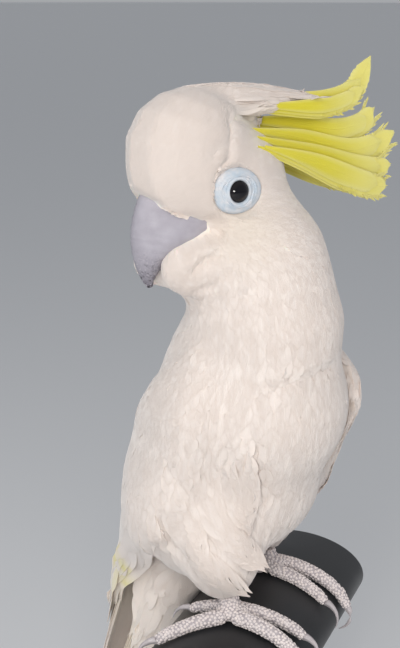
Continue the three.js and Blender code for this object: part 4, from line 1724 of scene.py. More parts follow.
@dataclass
class Wing:
    """The flight feathers of one folded wing, laid over the wing's own solids."""

    name: str
    surfaces: dict[WingLayer, BVHTree]
    places: int = 24
    smoothing: int = 6
    seed: int = 21
    # how far the tips stand off, and by which share of their length the roots come out
    tip_rise: float = 0.4
    root_rise: float = 0.35
    shape: VaneShape = VaneShape(columns=7, root=0.6, widest=0.4, tip_start=0.9, tip=0.3, roundness=0.35,
                                 ragged=0.004, fringe=0.03, camber=0.3, thickness=0.25, wrap_radius=45)

    def _cast(self, tree: BVHTree, origin: Array, way: Array) -> Array:
        """Finds how far a surface lies from the body's middle line, with holes bridged."""
        reach = np.full(len(origin), np.nan)
        for i, (start, ahead) in enumerate(zip(origin, way)):
            hit, _, _, gone = tree.ray_cast(Vector(start + FAR_OUT * ahead), Vector(-ahead), FAR_OUT)
            if hit:
                reach[i] = FAR_OUT - gone
        known = np.flatnonzero(np.isfinite(reach))
        return np.interp(np.arange(len(reach)), known, reach[known])

    def _row(self, row: WingRow, rng: np.random.Generator) -> Vanes:
        """One row of feathers.

        Args:
            row: the row.
            rng: the source of chance.

        Returns:
            The feathers.
        """
        grid = (row.count, self.places)
        reach, origin, way = np.empty(grid), np.empty((*grid, 3)), np.empty((*grid, 3))
        for i, lane in enumerate(np.linspace(*row.lanes, row.count)):
            end = row.down[1] - row.back_short * i / (row.count - 1) + rng.uniform(-0.008, 0.008)
            shares = np.linspace(row.down[0], end, self.places)
            heights, turns = row.layer.spots(shares, np.full(self.places, lane), WING_TUCK[self.name])
            turn = np.radians(turns)
            origin[i] = middle_at(heights)
            way[i] = np.stack([SIDES[self.name] * np.cos(turn), np.sin(turn), np.zeros_like(turn)], axis=1)
            reach[i] = self._cast(self.surfaces[row.layer], origin[i], way[i])
        for _ in range(self.smoothing):
            wide = np.pad(reach, 1, mode="edge")
            reach = (2 * reach + wide[:-2, 1:-1] + wide[2:, 1:-1] + wide[1:-1, :-2] + wide[1:-1, 2:]) / 6
        spine = origin + way * reach[..., None]
        up = np.cross(np.gradient(spine, axis=0), np.gradient(spine, axis=1))
        up = unit(up * np.sign((up * way).sum(axis=2, keepdims=True)))
        along = np.linspace(0, 1, self.places)
        lift = row.base + row.rise * np.arange(row.count)[:, None] + self.tip_rise * along
        lift = lift - (1 - smooth(along, 0, self.root_rise))
        half = np.full(row.count, row.half) * rng.uniform(0.96, 1.04, row.count)
        tint = markings_and_painted_shade(spine.reshape(-1, 3)).reshape(spine.shape)
        return Vanes(spine, up, half, lift, tint, self.shape, self.seed)

    def build(self) -> list[Piece]:
        """Lays the rows, one piece each."""
        rng = np.random.default_rng(self.seed)
        return [self._row(row, rng).mesh(f"{row.name}_{self.name}") for row in WING_ROWS]


@dataclass
class Tail:
    """Twelve long flat feathers, two for each of the six solids."""

    pairs: int = 6
    length: float = 172.0
    shorter: float = 3.2
    inset: float = 4.0
    spread: float = 3.2
    fan: float = 0.7
    layer: float = 1.7
    half: float = 10.2
    places: int = 18
    # where a feather bends most, and how far
    bend_at: float = 0.55
    bend: float = 1.5
    # how much nearer the middle each pair's second feather lies, and how many layers lower
    second: Pair = (0.92, 0.42)
    wash: float = 0.16
    seed: int = 31
    shape: VaneShape = VaneShape(columns=7, root=0.5, widest=0.6, tip_start=0.9, tip=0.4, roundness=0.3,
                                 ragged=0.003, fringe=0.03, camber=0.35, thickness=0.3, wrap_radius=200)

    def _feather(self, offset: float, level: float) -> tuple[Array, Array]:
        """Places one feather.

        Args:
            offset: how many feathers it lies from the middle, to the bird's left.
            level: how many layers it lies under the first.

        Returns:
            Its spine, and the way that it faces at each point.
        """
        down = unit(np.array([0, TAIL_SLOPE, -1.0]))
        out = unit(np.array([0, -1.0, -TAIL_SLOPE]))
        length = self.length - self.shorter * abs(offset)
        root = np.array([offset * self.spread, TAIL_BACK, TAIL_UP]) + out * (level * self.layer - self.inset)
        fan = math.radians(offset * self.fan)
        tip = root + down * length * math.cos(fan) + np.array([length * math.sin(fan), 0, 0])
        t = np.linspace(0, 1, self.places)[:, None]
        middle = root + (tip - root) * self.bend_at + out * self.bend
        spine = root * (1 - t) ** 2 + middle * 2 * t * (1 - t) + tip * t**2
        return spine, np.tile(-out, (self.places, 1))

    def build(self) -> list[Piece]:
        """Makes a pair of feathers for each solid."""
        wash = (self.wash * (1 - smooth(np.linspace(0, 1, self.places), 0.3, 0.9)))[None, :, None]
        nearer, lower = self.second
        pieces = []
        for i in range(self.pairs):
            offset = i - (self.pairs - 1) / 2
            level = abs(offset) * 2 - (1 if offset > 0 else 0)
            made = [self._feather(offset, level), self._feather(offset * nearer, level + lower)]
            spine, facing = (np.array(part) for part in zip(*made))
            base = markings_and_painted_shade(spine.reshape(-1, 3)).reshape(spine.shape)
            tint = base * (1 - wash) + Hue.PALE_YELLOW.rgb * wash
            lift = np.zeros((len(made), self.places))
            half = np.full(len(made), self.half)
            vanes = Vanes(spine, facing, half, lift, tint, self.shape, self.seed + i)
            pieces.append(vanes.mesh(f"tail_pair_{i + 1}"))
        return pieces


# ---- Crest ----
@dataclass(frozen=True)
class CrestFeather:
    """One curved feather of the crest, standing on edge."""

    node: str
    half: float
    path: tuple[Triple, ...]
    root_out: float


CREST_ROWS = (
    # name, half width, how far the root stands out, then places along it
    ("front", 6.6, 0, (-22, 0, 30), (-44, 0, 27.6), (-66, 0, 26.6), (-84, 0, 32), (-95, 0, 48)),
    ("second", 4.4, 0, (-17, 3, 27), (-44, 3.4, 25.4), (-64, 3, 25), (-79, 2.4, 28), (-89, 2, 34)),
    ("third", 6.2, 1.6, (-10, -3, 20), (-46, -3, 17.4), (-73, -2, 12.6), (-91, -2, 15), (-101, -2, 23)),
    ("left_high", 6.8, 1.6, (-7, 10, 18), (-46, 4.6, 10.6), (-77, 1.6, 2.5), (-97, 1, 3.5), (-113, 0.6, 10)),
    ("left_middle", 6.6, 1.6, (-8, 14, 15), (-47, 9, 4.6), (-76, 5.6, -4), (-95, 4.4, -7.5), (-108, 4, -6)),
    ("left_low", 6.4, 1.6, (-10, 18, 11), (-45, 13, 1), (-70, 9.6, -8), (-90, 8, -14.5), (-103, 7, -16)),
    ("right_high", 6.2, 1.6, (-8, -12, 17), (-46, -7.6, 8.6), (-75, -5.4, 0), (-94, -4.6, -2), (-108, -4, 2)),
    ("right_low", 6.0, 1.6, (-10, -17, 12), (-45, -12, 0.6), (-70, -9, -8), (-88, -8, -13), (-101, -7, -14)),
)
CREST = [CrestFeather(f"crest_{name}", half, tuple(path), out) for name, half, out, *path in CREST_ROWS]


@dataclass
class Crest:
    """The yellow crest: each feather a broad vane, two narrower ones beside it and loose barbs."""

    places: int = 56
    seed: int = 41
    shape: VaneShape = VaneShape(columns=9, root=0.1, widest=0.6, tip_start=0.86, tip=0.25, roundness=0.4,
                                 ragged=0.012, fringe=0.12, camber=0.1, thickness=0.28, wrap_radius=60)
    barb: VaneShape = VaneShape(columns=3, root=0.9, widest=0.2, tip_start=0.4, tip=0.15, roundness=0.5,
                                ragged=0.0, camber=0.0, thickness=0.14)
    # first and last share of the line, and shift in the head's frame, of the broad vane and the two beside it
    vanes: tuple[tuple[float, float, Triple], ...] = (
        (0, 1, (0, 0.25, 0)), (0.02, 0.92, (0, -0.5, -1.4)), (0.03, 0.84, (0, 0.9, 1.2))
    )
    narrower: Triple = (1.0, 0.9, 0.85)
    pale: float = 0.62
    barb_places: int = 5
    barb_slant: Pair = (16, 34)
    barb_length: Pair = (3.5, 6.5)
    barb_half: Pair = (0.35, 0.6)
    # for each edge, lower and upper: barbs, then the part of the feather's length that they grow from
    barbs: tuple[tuple[int, int, float, float], ...] = ((-1, 40, 0.5, 0.94), (1, 9, 0.8, 0.93))
    front_barbs: tuple[tuple[int, int, float, float], ...] = ((-1, 14, 0.45, 0.8),)

    def _tint(self, shares: Array) -> Array:
        """Strong yellow from the root, paler to the tip."""
        pale = (self.pale * smooth(shares, 0.35, 1.0))[:, None]
        return Hue.YELLOW.rgb * (1 - pale) + Hue.PALE_YELLOW.rgb * pale

    def _vanes(self, feather: CrestFeather, sign: int, seed: int) -> Vanes:
        """The broad vane and the two beside it."""
        shares = np.linspace(0, 1, self.places)
        spines = []
        for start, end, shift in self.vanes:
            line = along_path(HEAD.place(feather.path), np.linspace(start, end, self.places))
            spines.append(line + HEAD.turn(shift))
        spine = np.array(spines)
        up = np.tile(HEAD.turn((0, sign, 0)), (len(spines), self.places, 1))
        lift = np.tile(feather.root_out * (1 - smooth(shares, 0.05, 0.35)), (len(spines), 1))
        tint = np.tile(self._tint(shares), (len(spines), 1, 1))
        return Vanes(spine, up, feather.half * np.array(self.narrower), lift, tint, self.shape, seed)

    def _fringe(
        self, vanes: Vanes, barbs: Sequence[tuple[int, int, float, float]], sign: int, seed: int
    ) -> Vanes:
        """Loose barbs along the edges of the broad vane, standing out a little past them.

        Args:
            vanes: the feather's vanes.
            barbs: the edge, the number of barbs and their first and last places.
            sign: the side that the feather faces.
            seed: where their chance starts.

        Returns:
            The barbs.
        """
        rng = np.random.default_rng(seed)
        spine, up = vanes.spine[0], vanes.up[0]
        ahead = unit(np.gradient(spine, axis=0))
        beside = np.cross(flat_on(up, ahead), ahead) * sign
        t = np.linspace(0, 1, self.barb_places)[:, None]
        lines, tints = [], []
        for edge, count, first, last in barbs:
            for share in np.sort(rng.uniform(first, last, count)):
                k = int(share * (self.places - 1))
                half = vanes.half[0] * width_along(np.array([share]), self.shape)[0]
                slant = math.radians(rng.uniform(*self.barb_slant))
                way = ahead[k] * math.cos(slant) + beside[k] * edge * math.sin(slant)
                root = spine[k] + beside[k] * edge * half * 0.8
                length = rng.uniform(*self.barb_length)
                lines.append(root + way * length * t - beside[k] * edge * 0.6 * t**2)
                tints.append(np.tile(self._tint(np.array([share + 0.1])), (self.barb_places, 1)))
        count = len(lines)
        ups = np.tile(up[0], (count, self.barb_places, 1))
        lift = np.tile(rng.uniform(-0.1, 0.4, count)[:, None], (1, self.barb_places))
        half = rng.uniform(*self.barb_half, count)
        return Vanes(np.array(lines), ups, half, lift, np.array(tints), self.barb, seed)

    def build(self) -> list[tuple[Piece, list[str]]]:
        """Makes each feather of the crest.

        Returns:
            The pieces, each with the nodes it stands for.
        """
        made = []
        for i, feather in enumerate(CREST):
            sign = 1 if feather.path[0][1] >= 0 else -1
            vanes = self._vanes(feather, sign, self.seed + i)
            made.append((vanes.mesh(f"{feather.node}_feather"), [feather.node]))
            barbs = self.barbs if feather.root_out else self.front_barbs
            made.append((self._fringe(vanes, barbs, sign, self.seed + i).mesh(f"{feather.node}_barbs"), []))
        return made


@dataclass
class Plumes:
    """Long soft feathers in rings round a line, laid back so that they draw together behind it.

    Attributes:
        line: the first and last places on the line.
        top: direction out of the line to the middle of each ring.
        beside: direction across it.
        reach: how far from the line the skin may lie.
        lengths: of the first ring's feathers and of the last's.
        fan: degrees round the line to either side of the middle.
        meeting: the place that the feathers point to.
    """

    name: str
    line: Array
    top: Array
    beside: Array
    reach: float
    lengths: Pair
    half: float
    fan: float
    meeting: Array
    rings: int = 9
    abreast: int = 15
    places: int = 10
    seed: int = 45
    shape: VaneShape = VaneShape(root=0.5, tip_start=0.5, tip=0.15, roundness=1.0, ragged=0.01, camber=0.1)

    def build(self, tree: BVHTree) -> Piece:
        """Lays the feathers on a surface.

        Args:
            tree: the surface.

        Returns:
            One piece.
        """
        rng = np.random.default_rng(self.seed)
        roots, lengths = [], []
        for share in np.linspace(0, 1, self.rings):
            for lane in np.linspace(-self.fan, self.fan, self.abreast):
                turn = math.radians(lane + rng.uniform(-5, 5))
                way = self.beside * math.sin(turn) + self.top * math.cos(turn)
                middle = self.line[0] + (self.line[1] - self.line[0]) * (share + rng.uniform(-0.03, 0.03))
                hit, facing, _, _ = tree.ray_cast(Vector(middle + way * FAR_OUT), Vector(-way), FAR_OUT)
                if hit and (np.array(hit) - middle) @ way < self.reach and np.array(facing) @ way > 0.7:
                    roots.append(np.array(hit))
                    lengths.append(np.interp(share, (0, 1), self.lengths))
        roots, length = np.array(roots), np.array(lengths) * rng.uniform(0.88, 1.0, len(lengths))
        facing = np.array([tree.find_nearest(Vector(root))[1] for root in roots])
        aim = unit(self.meeting - roots)
        t = np.linspace(0, 1, self.places)[None, :, None]
        bend = (roots + flat_on(aim, facing) * 0.4 * length[:, None])[:, None]
        tips = (roots + aim * length[:, None])[:, None]
        spine = roots[:, None] * (1 - t) ** 2 + bend * 2 * t * (1 - t) + tips * t**2
        up = np.repeat(facing[:, None], self.places, axis=1)
        lift = 0.2 + np.linspace(0, 1.0, self.places)[None, :] * rng.uniform(0.8, 1.1, (len(roots), 1))
        half = self.half * rng.uniform(0.85, 1.1, len(roots))
        return Vanes(spine, up, half, lift, markings_and_painted_shade(roots), self.shape, self.seed).mesh(self.name)


PLUMES = (
    Plumes(
        "coat_crown_plumes",
        line=HEAD.place([(-4, 0, 25), (-37, 0, 25)]),
        top=HEAD.turn((0, 0, 1)),
        beside=HEAD.turn((0, 1, 0)),
        reach=13,
        lengths=(21, 28),
        half=1.7,
        fan=92,
        meeting=HEAD.place([(-70, 0, 27.5)])[0],
        rings=15,
        abreast=21,
    ),
    Plumes(
        "coat_tail_coverts",
        line=middle_at([6, -24]),
        top=np.array([0, 0.93, 0.37]),
        beside=np.array([1.0, 0, 0]),
        reach=60,
        lengths=(34, 46),
        half=5.2,
        fan=172,
        meeting=np.array([0, 135.0, -190]),
        rings=4,
        abreast=20,
    ),
)


# ---- Bill ----
Section = tuple[Pair, Pair, float]


@dataclass
class Bill:
    """The two halves of the bill, through sections that run from the ridge to the cutting edges."""

    sharpness: float = 0.3
    along: int = 72
    around: int = 56
    upper: tuple[Section, ...] = (
        # (forward, up) at the ridge, (forward, up) at the back, half width
        ((34, -3), (-8, -12), 11), ((40.2, -9), (-8, -18), 14.6), ((43.4, -16.5), (-6, -26), 16),
        ((45, -24), (5, -32), 15), ((45.2, -31), (19, -36.5), 11.6), ((44.2, -38), (28.5, -40.5), 8),
        ((42.4, -44), (32.4, -44.5), 5.4), ((40, -48.6), (34.4, -48.2), 3.2),
        ((37.4, -52), (35, -51.4), 1.2),
    )
    lower: tuple[Section, ...] = (
        ((14, -38), (2, -49), 7.5), ((20, -38), (10, -50), 8.6), ((25.5, -39.2), (18, -49.6), 7.4),
        ((29.2, -41.4), (24, -48.6), 5.2), ((30.6, -44), (28, -47.4), 2.6),
    )

    def _half(self, name: str, sections: tuple[Section, ...], seed: int) -> Piece:
        """One half of the bill.

        Args:
            name: the piece's name.
            sections: its sections, from the root to the tip.
            seed: where the chance of its wear starts.

        Returns:
            The piece.
        """
        rows = np.array([(*ridge, *back, half) for ridge, back, half in sections])
        shares = np.linspace(0, 1, self.along)
        line = along_path(rows, shares)
        turn = np.arange(self.around) / self.around * math.tau
        a, b = np.cos(turn), np.sin(turn)
        narrow = 1 - self.sharpness * np.maximum(a, 0) ** 2
        middle = (line[:, :2] + line[:, 2:4]) / 2
        reach = line[:, :2] - middle
        rng = np.random.default_rng(seed)
        wear = 0.25 * smooth(shares, 0.6, 0.95)[:, None] * rng.normal(0, 1, (self.along, self.around))
        wear = (wear + np.roll(wear, 1, 0) + np.roll(wear, 1, 1) + np.roll(wear, -1, 1)) / 4
        ridges = 0.12 * np.sin(shares * 90)[:, None] * (0.4 + 0.6 * np.abs(b))[None, :]
        size = 1 + (wear + ridges) / np.maximum(line[:, 4:5], 3)
        profile = middle[:, None, :] + reach[:, None, :] * (a[None, :] * size)[..., None]
        side = b[None, :] * narrow[None, :] * size * line[:, 4:5]
        local = np.stack([profile[..., 0], side, profile[..., 1]], axis=-1)
        points = HEAD.place(local.reshape(-1, 3))
        at = np.arange(self.along * self.around).reshape(self.along, self.around)
        piece = mesh_piece(name, points, [ring_quads(at), at[:1, ::-1], at[-1:]], smooth_angle=40)
        activate(piece)
        bpy.ops.object.mode_set(mode="EDIT")
        bpy.ops.mesh.select_all(action="SELECT")
        bpy.ops.mesh.normals_make_consistent(inside=False)
        bpy.ops.object.mode_set(mode="OBJECT")
        run = np.stack(np.broadcast_arrays(shares[:, None], a[None, :], b[None, :]), axis=-1)
        carry(piece, "vane", run)
        return piece

    def build(self) -> dict[str, Piece]:
        """Makes both halves, by the node that each stands for."""
        return {
            "bill_upper": self._half("bill_upper_horn", self.upper, 51),
            "bill_lower": self._half("bill_lower_horn", self.lower, 52),
        }


# ---- Eyes ----
@dataclass
class EyeParts:
    """An eyeball and the wrinkled bare skin round it, with its lids."""

    eye: Eye
    name: str
    around: int = 192
    profile: tuple[Pair, ...] = (
        # radius and height, from the lid's edge on the eyeball out to below the feathers
        (4.6, -0.2), (5.0, 0.55), (5.4, 1.0), (6.0, 1.05), (6.7, 0.6), (7.4, 0.75),
        (8.2, 0.3), (9.0, 0.3), (9.8, -0.2), (10.8, -0.6), (12.0, -1.6), (12.6, -3.2),
    )
    folds: int = 44

    def _axes(self) -> Array:
        """Rows of two directions across the eye and the one it looks along."""
        out = self.eye.outward
        across = unit(np.cross((0, 0, 1), out))
        return np.array([across, np.cross(out, across), out])

    def ball(self) -> Piece:
        """The eyeball, from a sphere whose pole is turned to the front."""
        deselect_all()
        bpy.ops.mesh.primitive_uv_sphere_add(segments=64, ring_count=40, radius=self.eye.radius)
        piece = bpy.context.object
        piece.name = f"eyeball_{self.name}"
        local = np.array([v.co for v in piece.data.vertices])
        gap = np.hypot(local[:, 0], local[:, 1]) / self.eye.radius
        local[:, 2] += np.where(local[:, 2] > 0, 0.45 * (1 - smooth(gap, 0.0, 0.75)), 0)
        local[:, 2] -= self.eye.sink
        move_points(piece, self.eye.middle + local @ self._axes())
        bpy.ops.object.shade_smooth()
        carry(piece, "vane", np.stack([gap, gap, gap], axis=1))
        return piece

    def bare_skin(self) -> Piece:
        """The lids and the ring of bare skin, with fine wrinkles round and across it."""
        rows = along_path([(r, h, 0) for r, h in self.profile], np.linspace(0, 1, 48))
        turn = np.arange(self.around) / self.around * math.tau
        radius, height = rows[:, :1], rows[:, 1:2]
        rng = np.random.default_rng(61)
        phase = rng.uniform(0, math.tau, 4)
        slit = 1 - 0.05 * (1 - smooth(radius, 6, 10)) * np.cos(2 * turn)
        wander = radius + 0.5 * np.sin(3 * turn + phase[0]) + 0.3 * np.sin(7 * turn + phase[3])
        radial = 0.05 * np.sin(self.folds * turn + 2.0 * np.sin(3 * turn + radius))
        rings = 0.05 * np.sin(wander * 6.5) * (0.5 + 0.5 * np.sin(2 * turn + radius + phase[1]))
        crease = -0.35 * np.exp(-(((wander - 7.4) / 0.35) ** 2))
        soft = smooth(radius, 5.6, 7.2) * (1 - smooth(radius, 10.5, 12.2))
        lift = height + soft * (radial + rings + crease) + 0.2 * soft * np.sin(turn * 2 + phase[2])
        lower = 0.5 * np.exp(-(((radius - 8.0) / 0.8) ** 2)) * smooth(-np.sin(turn), 0.1, 0.8)
        low = 1 - (1 - self.eye.flattening) * smooth(radius, 5.6, 9)
        flat = radius * slit
        local = np.stack([flat * np.cos(turn), flat * low * np.sin(turn), lift + lower], axis=-1)
        points = self.eye.middle + local.reshape(-1, 3) @ self._axes()
        at = np.arange(local.shape[0] * local.shape[1]).reshape(local.shape[:2])
        piece = mesh_piece(f"eye_skin_{self.name}", points, [ring_quads(at)[:, [0, 3, 2, 1]]])
        apply_modifier(piece, "SOLIDIFY", thickness=0.4 * MM, offset=-1.0)
        return piece


# ---- Feet ----
@dataclass
class Foot:
    """A scaly foot: one skin over its bones and toes, plates over that, and four claws."""

    name: str
    toes: tuple[str, ...] = ("inner_front", "outer_front", "outer_back", "inner_back")
    grown: float = 0.35
    voxel: float = 0.75
    # a plate's half width, the room round it as a share of that, its corners and its rings' share and height
    plate: float = 0.82
    plate_room: float = 1.6
    corners: int = 7
    dome: tuple[Pair, ...] = ((1.0, -0.25), (0.82, 0.2), (0.4, 0.34))
    first_corner: Triple = (0.3, 0.2, 1.0)
    seed: int = 71

    def skin(self) -> Piece:
        """The skin of the foot and its toes."""
        nodes = [f"foot_{self.name}", *(f"toe_{toe}_{self.name}" for toe in self.toes)]
        piece = copy_of(nodes, f"foot_skin_{self.name}")
        apply_modifier(piece, "DISPLACE", strength=self.grown * MM, mid_level=0.0)
        apply_modifier(piece, "REMESH", mode="VOXEL", voxel_size=self.voxel * MM)
        keep_largest(piece)
        apply_modifier(piece, "SMOOTH", factor=0.5, iterations=7)
        move_points(piece, points_of(piece) - normals_of(piece) * self.grown)
        bpy.ops.object.shade_smooth()
        return piece

    def plates(self, skin: Piece) -> Piece:
        """Small domed plates all over a foot's skin.

        Args:
            skin: the foot's skin.

        Returns:
            One piece.
        """
        rng = np.random.default_rng(self.seed)
        points = points_of(skin)
        order = rng.permutation(len(points))
        kept = order[thin(points[order], np.full(len(order), self.plate_room * self.plate))]
        roots, up = points[kept], unit(normals_of(skin)[kept])
        across = flat_on(np.tile(self.first_corner, (len(roots), 1)), up)
        beside = np.cross(up, across)
        corners, dome = self.corners, self.dome
        size = self.plate * rng.uniform(0.92, 1.12, len(roots))
        turn = np.arange(corners) / corners * math.tau
        spin = rng.uniform(0, math.tau, len(roots))
        rings = []
        for radius, height in dome:
            angle = turn[None, :] + spin[:, None]
            wobble = 1 + 0.1 * np.sin(3 * angle)
            reach = (radius * size)[:, None] * wobble
            flat = across[:, None] * (reach * np.cos(angle))[..., None]
            flat = flat + beside[:, None] * (reach * np.sin(angle))[..., None]
            rings.append(roots[:, None] + flat + up[:, None] * height)
        whole = np.concatenate(rings, axis=1)
        at = np.arange(len(roots) * corners * len(dome)).reshape(len(roots), len(dome), corners)
        faces = [ring_quads(at), np.concatenate([at[:, 0, ::-1], at[:, -1]])]
        piece = mesh_piece(f"foot_plates_{self.name}", whole.reshape(-1, 3), faces, smooth_angle=60)
        spot = np.repeat(unwrap(roots), corners * len(dome), axis=0)
        local = np.tile(np.stack([np.cos(turn), np.sin(turn)], axis=1), (len(roots) * len(dome), 1))
        write_bake_map(piece, spot + PATCH / 2 * local)
        return piece

    def claw(self, toe: str) -> Piece:
        """A smooth curved claw from its solid."""
        piece = copy_of([f"claw_{toe}_{self.name}"], f"claw_{toe}_{self.name}_horn")
        apply_modifier(piece, "SUBSURF", levels=3, render_levels=3)
        activate(piece)
        bpy.ops.object.shade_smooth()
        return piece


# ---- Stand ----
@dataclass
class Stand:
    """The bar that the bird grips, two rods and a round base."""

    bar_depth: float = 38.0
    bar_height: float = 21.0
    bar_length: float = 168.0
    bar_turn: float = 20.0
    bar_edge: float = 1.6
    rod_radius: float = 4.5
    rod_edge: float = 0.3
    base_radius: float = 98.0
    base_thickness: float = 12.0
    base_edge: float = 2.5

    @staticmethod
    def _cylinder(
        name: str,
        scale: Triple,
        place: Sequence[float],
        edge: float,
        turn: Triple = (0, 0, 0),
        corners: int = 128,
        steps: int = 4,
    ) -> Piece:
        """A cylinder with rounded edges.

        Args:
            name: the piece's name.
            scale: its two radii and its length.
            place: its middle, in metres.
            edge: width of the rounding.
            turn: its turn about x, y and z.
            corners: how many it has round it.
            steps: how many the rounding has.

        Returns:
            The piece.
        """
        deselect_all()
        bpy.ops.mesh.primitive_cylinder_add(
            vertices=corners, radius=1, depth=1, location=place, rotation=turn
        )
        piece = bpy.context.object
        activate(piece)
        piece.name = name
        piece.scale = [size * MM for size in scale]
        bpy.ops.object.transform_apply(location=True, rotation=True, scale=True)
        sharp = math.radians(50)
        apply_modifier(
            piece, "BEVEL", width=edge * MM, segments=steps, limit_method="ANGLE", angle_limit=sharp
        )
        bpy.ops.object.shade_smooth_by_angle(angle=math.radians(40))
        return piece

    def bar(self) -> Piece:
        """The oval bar."""
        centre = to_world([(0, 0, -self.bar_height)])[0]
        turn = (0, math.pi / 2, math.radians(self.bar_turn))
        size = (self.bar_height, self.bar_depth, self.bar_length)
        return self._cylinder("grip_bar", size, centre, self.bar_edge, turn)

    def rod(self, name: str) -> Piece:
        """A rod from the base up to the bar, on the side that is named."""
        low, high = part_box(f"stand_rod_{name}")
        size = (self.rod_radius, self.rod_radius, (high.z - low.z) / MM + 2)
        middle = (low + high) / 2
        return self._cylinder(f"support_rod_{name}", size, middle, self.rod_edge, corners=48, steps=2)

    def base(self) -> Piece:
        """The round base, with a rounded top edge."""
        size = (self.base_radius, self.base_radius, self.base_thickness)
        place = (0, 0, self.base_thickness / 2 * MM)
        return self._cylinder("wooden_base", size, place, self.base_edge, corners=160, steps=5)


# ---- Studio ----
@dataclass(frozen=True)
class Lamp:
    """A soft square light: its direction in degrees, its distance and size in metres, power and colour."""

    name: str
    azimuth: float
    elevation: float
    far: float
    size: float
    power: float
    colour: Triple
    mirrored: bool = False


@dataclass
class Studio:
    """The floor, the lights and the camera."""

    azimuth: float = -48.0
    elevation: float = 15.0
    distance: float = 0.6
    target: Triple = (-0.007, 0.0156, 0.334)
    sensor: float = 36.0
    view_angle: float = 30.0
    floor_size: float = 400.0
    sky: Triple = (0.80, 0.82, 0.86)
    sky_strength: float = 0.47
    lamps: tuple[Lamp, ...] = (
        Lamp("key", -54, 34, 1.3, 0.7, 8.2, (1.0, 0.96, 0.92)),
        Lamp("fill", 8, 15, 1.5, 1.2, 4.2, (1.0, 0.93, 0.89)),
        Lamp("side", -118, 18, 1.4, 0.9, 2.5, (0.95, 0.97, 1.0)),
        Lamp("glint", -60, 7, 1.0, 0.14, 3.0, (1.0, 0.97, 0.93), mirrored=True),
    )

    def camera(self) -> None:
        """Places the camera and makes it the scene's."""
        made = bpy.data.cameras.new("camera")
        made.sensor_fit = "VERTICAL"
        made.sensor_height = self.sensor
        made.lens = self.sensor / 2 / math.tan(math.radians(self.view_angle / 2))
        made.clip_start = 0.01
        piece = add_object("camera", made)
        self._aim(piece, self.azimuth, self.elevation, self.distance)
        bpy.context.scene.camera = piece

    def _aim(self, piece: Piece, azimuth: float, elevation: float, far: float) -> None:
        """Places something round the object and turns it to face the object.

        Args:
            piece: the camera or light.
            azimuth: degrees round the object, from in front of its breast.
            elevation: degrees up.
            far: distance in metres.
        """
        a, e = math.radians(azimuth), math.radians(elevation)
        way = Vector((math.sin(a) * math.cos(e), -math.cos(a) * math.cos(e), math.sin(e)))
        piece.location = Vector(self.target) + way * far
        piece.rotation_euler = way.to_track_quat("Z", "Y").to_euler()

    def light(self, lamp: Lamp) -> None:
        """Adds a light aimed at the object."""
        made = bpy.data.lights.new(lamp.name, "AREA")
        made.shape, made.size, made.energy, made.color = "SQUARE", lamp.size, lamp.power, lamp.colour
        piece = add_object(lamp.name, made)
        piece.visible_glossy = lamp.mirrored
        self._aim(piece, lamp.azimuth, lamp.elevation, lamp.far)

    def floor(self) -> None:
        """A wide pale floor."""
        deselect_all()
        bpy.ops.mesh.primitive_plane_add(size=self.floor_size, location=(0, 0, 0))
        piece = bpy.context.object
        piece.name = "studio_floor"
        finish = PlainFinish("pale_floor", Hue.FLOOR, Hue.FLOOR, roughness=(0.7, 0.8), grain_depth=0.05)
        piece.data.materials.append(finish.make())

    def build(self) -> None:
        """Sets the studio up."""
        self.camera()
        self.floor()
        for lamp in self.lamps:
            self.light(lamp)
        world = bpy.data.worlds.new("studio")
        world.use_nodes = True
        background = world.node_tree.nodes["Background"]
        background.inputs["Color"].default_value = (*self.sky, 1)
        background.inputs["Strength"].default_value = self.sky_strength
        bpy.context.scene.world = world
        bpy.context.scene.view_settings.view_transform = "Standard"


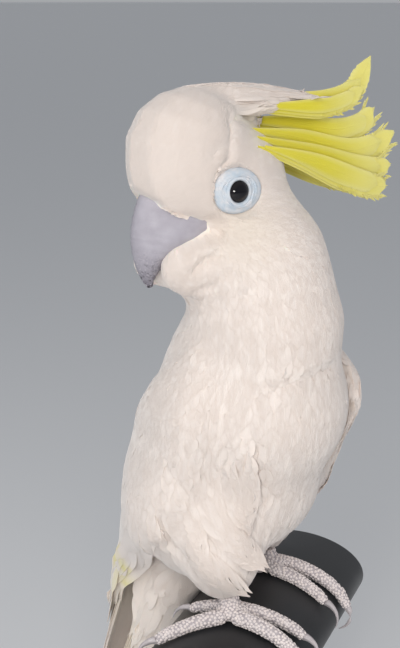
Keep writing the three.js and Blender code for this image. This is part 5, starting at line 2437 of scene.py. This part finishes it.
def dress_bird() -> None:
    """Builds and finishes the bird."""
    white = FeatherFinish("white_plumage").make()
    flight = FeatherFinish("flight_feathers", barbs=90, barb_depth=0.1, roughness=0.5).make()
    crest = FeatherFinish("crest_feathers", 60, roughness=0.5, edge=Hue.PALE_YELLOW, edge_share=0.5).make()
    horn = BillFinish().make()

    skin_maker = Skin()
    skin = skin_maker.build()
    tree = search_tree(skin)
    horns = Bill().build()
    coat = Coat(skin, [search_tree(horn_piece) for horn_piece in horns.values()])
    for piece in coat.build():
        dress(piece, white)
    dress(LobeFeathers(tree).build(), white)
    for plumes in PLUMES:
        dress(plumes.build(tree), white)
    for name in SIDES:
        surfaces = {}
        for layer, part in ((LOWER_LAYER, "primaries"), (UPPER_LAYER, "upper")):
            guide = copy_of([f"wing_{part}_{name}"], "wing_guide")
            surfaces[layer] = search_tree(guide)
            bpy.data.objects.remove(guide)
        for piece in Wing(name, surfaces).build():
            nodes = [f"wing_primaries_{name}"] if piece.name.startswith("primaries") else []
            dress(piece, flight, nodes)
    for i, piece in enumerate(Tail().build()):
        dress(piece, flight, [f"tail_feather_{i + 1}"])
    for piece, nodes in Crest().build():
        dress(piece, crest, nodes)
    for node, piece in horns.items():
        dress(piece, horn, [node])
    dress(skin, SkinFinish().make(), skin_maker.flesh)


def dress_bare_parts() -> None:
    """Builds and finishes the eyes and the feet."""
    wet = EyeFinish().make()
    ring = PlainFinish("bare_eye_skin", Hue.RING_BLUE, Hue.WHITE, 300, 1600, 0.12, (0.45, 0.6)).make()
    foot_skin = PlainFinish("foot_skin", Hue.FOOT_SKIN, Hue.SCALE, 300, 1200, 0.1, (0.6, 0.75)).make()
    plate = PlainFinish("foot_plates", Hue.SCALE, Hue.WHITE, 500, 2000, 0.08, (0.5, 0.7)).make()
    claw = PlainFinish("claw_horn", Hue.CLAW, Hue.DARK_HORN, 200, 1500, 0.1, (0.3, 0.45)).make()
    for name, eye in EYES.items():
        parts = EyeParts(eye, name)
        dress(parts.ball(), wet, [f"eye_{name}"])
        dress(parts.bare_skin(), ring, [f"eye_ring_{name}"])
        foot = Foot(name)
        skin = foot.skin()
        dress(foot.plates(skin), plate)
        dress(skin, foot_skin, [f"foot_{name}", *(f"toe_{toe}_{name}" for toe in foot.toes)])
        for toe in foot.toes:
            dress(foot.claw(toe), claw, [f"claw_{toe}_{name}"])


def dress_stand() -> None:
    """Builds and finishes the stand."""
    stand = Stand()
    bar = PlainFinish("black_bar", Hue.BAR, Hue.STEEL, 30, 1400, 0.06, (0.32, 0.5), share=0.06).make()
    steel = PlainFinish("brushed_steel", Hue.STEEL, Hue.STEEL, 60, 900, 0.03, (0.22, 0.34), 1.0).make()
    dress(stand.bar(), bar, ["stand_perch"])
    for name in SIDES:
        dress(stand.rod(name), steel, [f"stand_rod_{name}"])
    dress(stand.base(), WoodFinish().make(), ["stand_base"])


def main() -> None:
    """Builds everything in order."""
    logging.basicConfig(level=logging.INFO, format="%(message)s")
    Studio().build()
    dress_stand()
    dress_bare_parts()
    dress_bird()


if __name__ == "__main__":
    main()
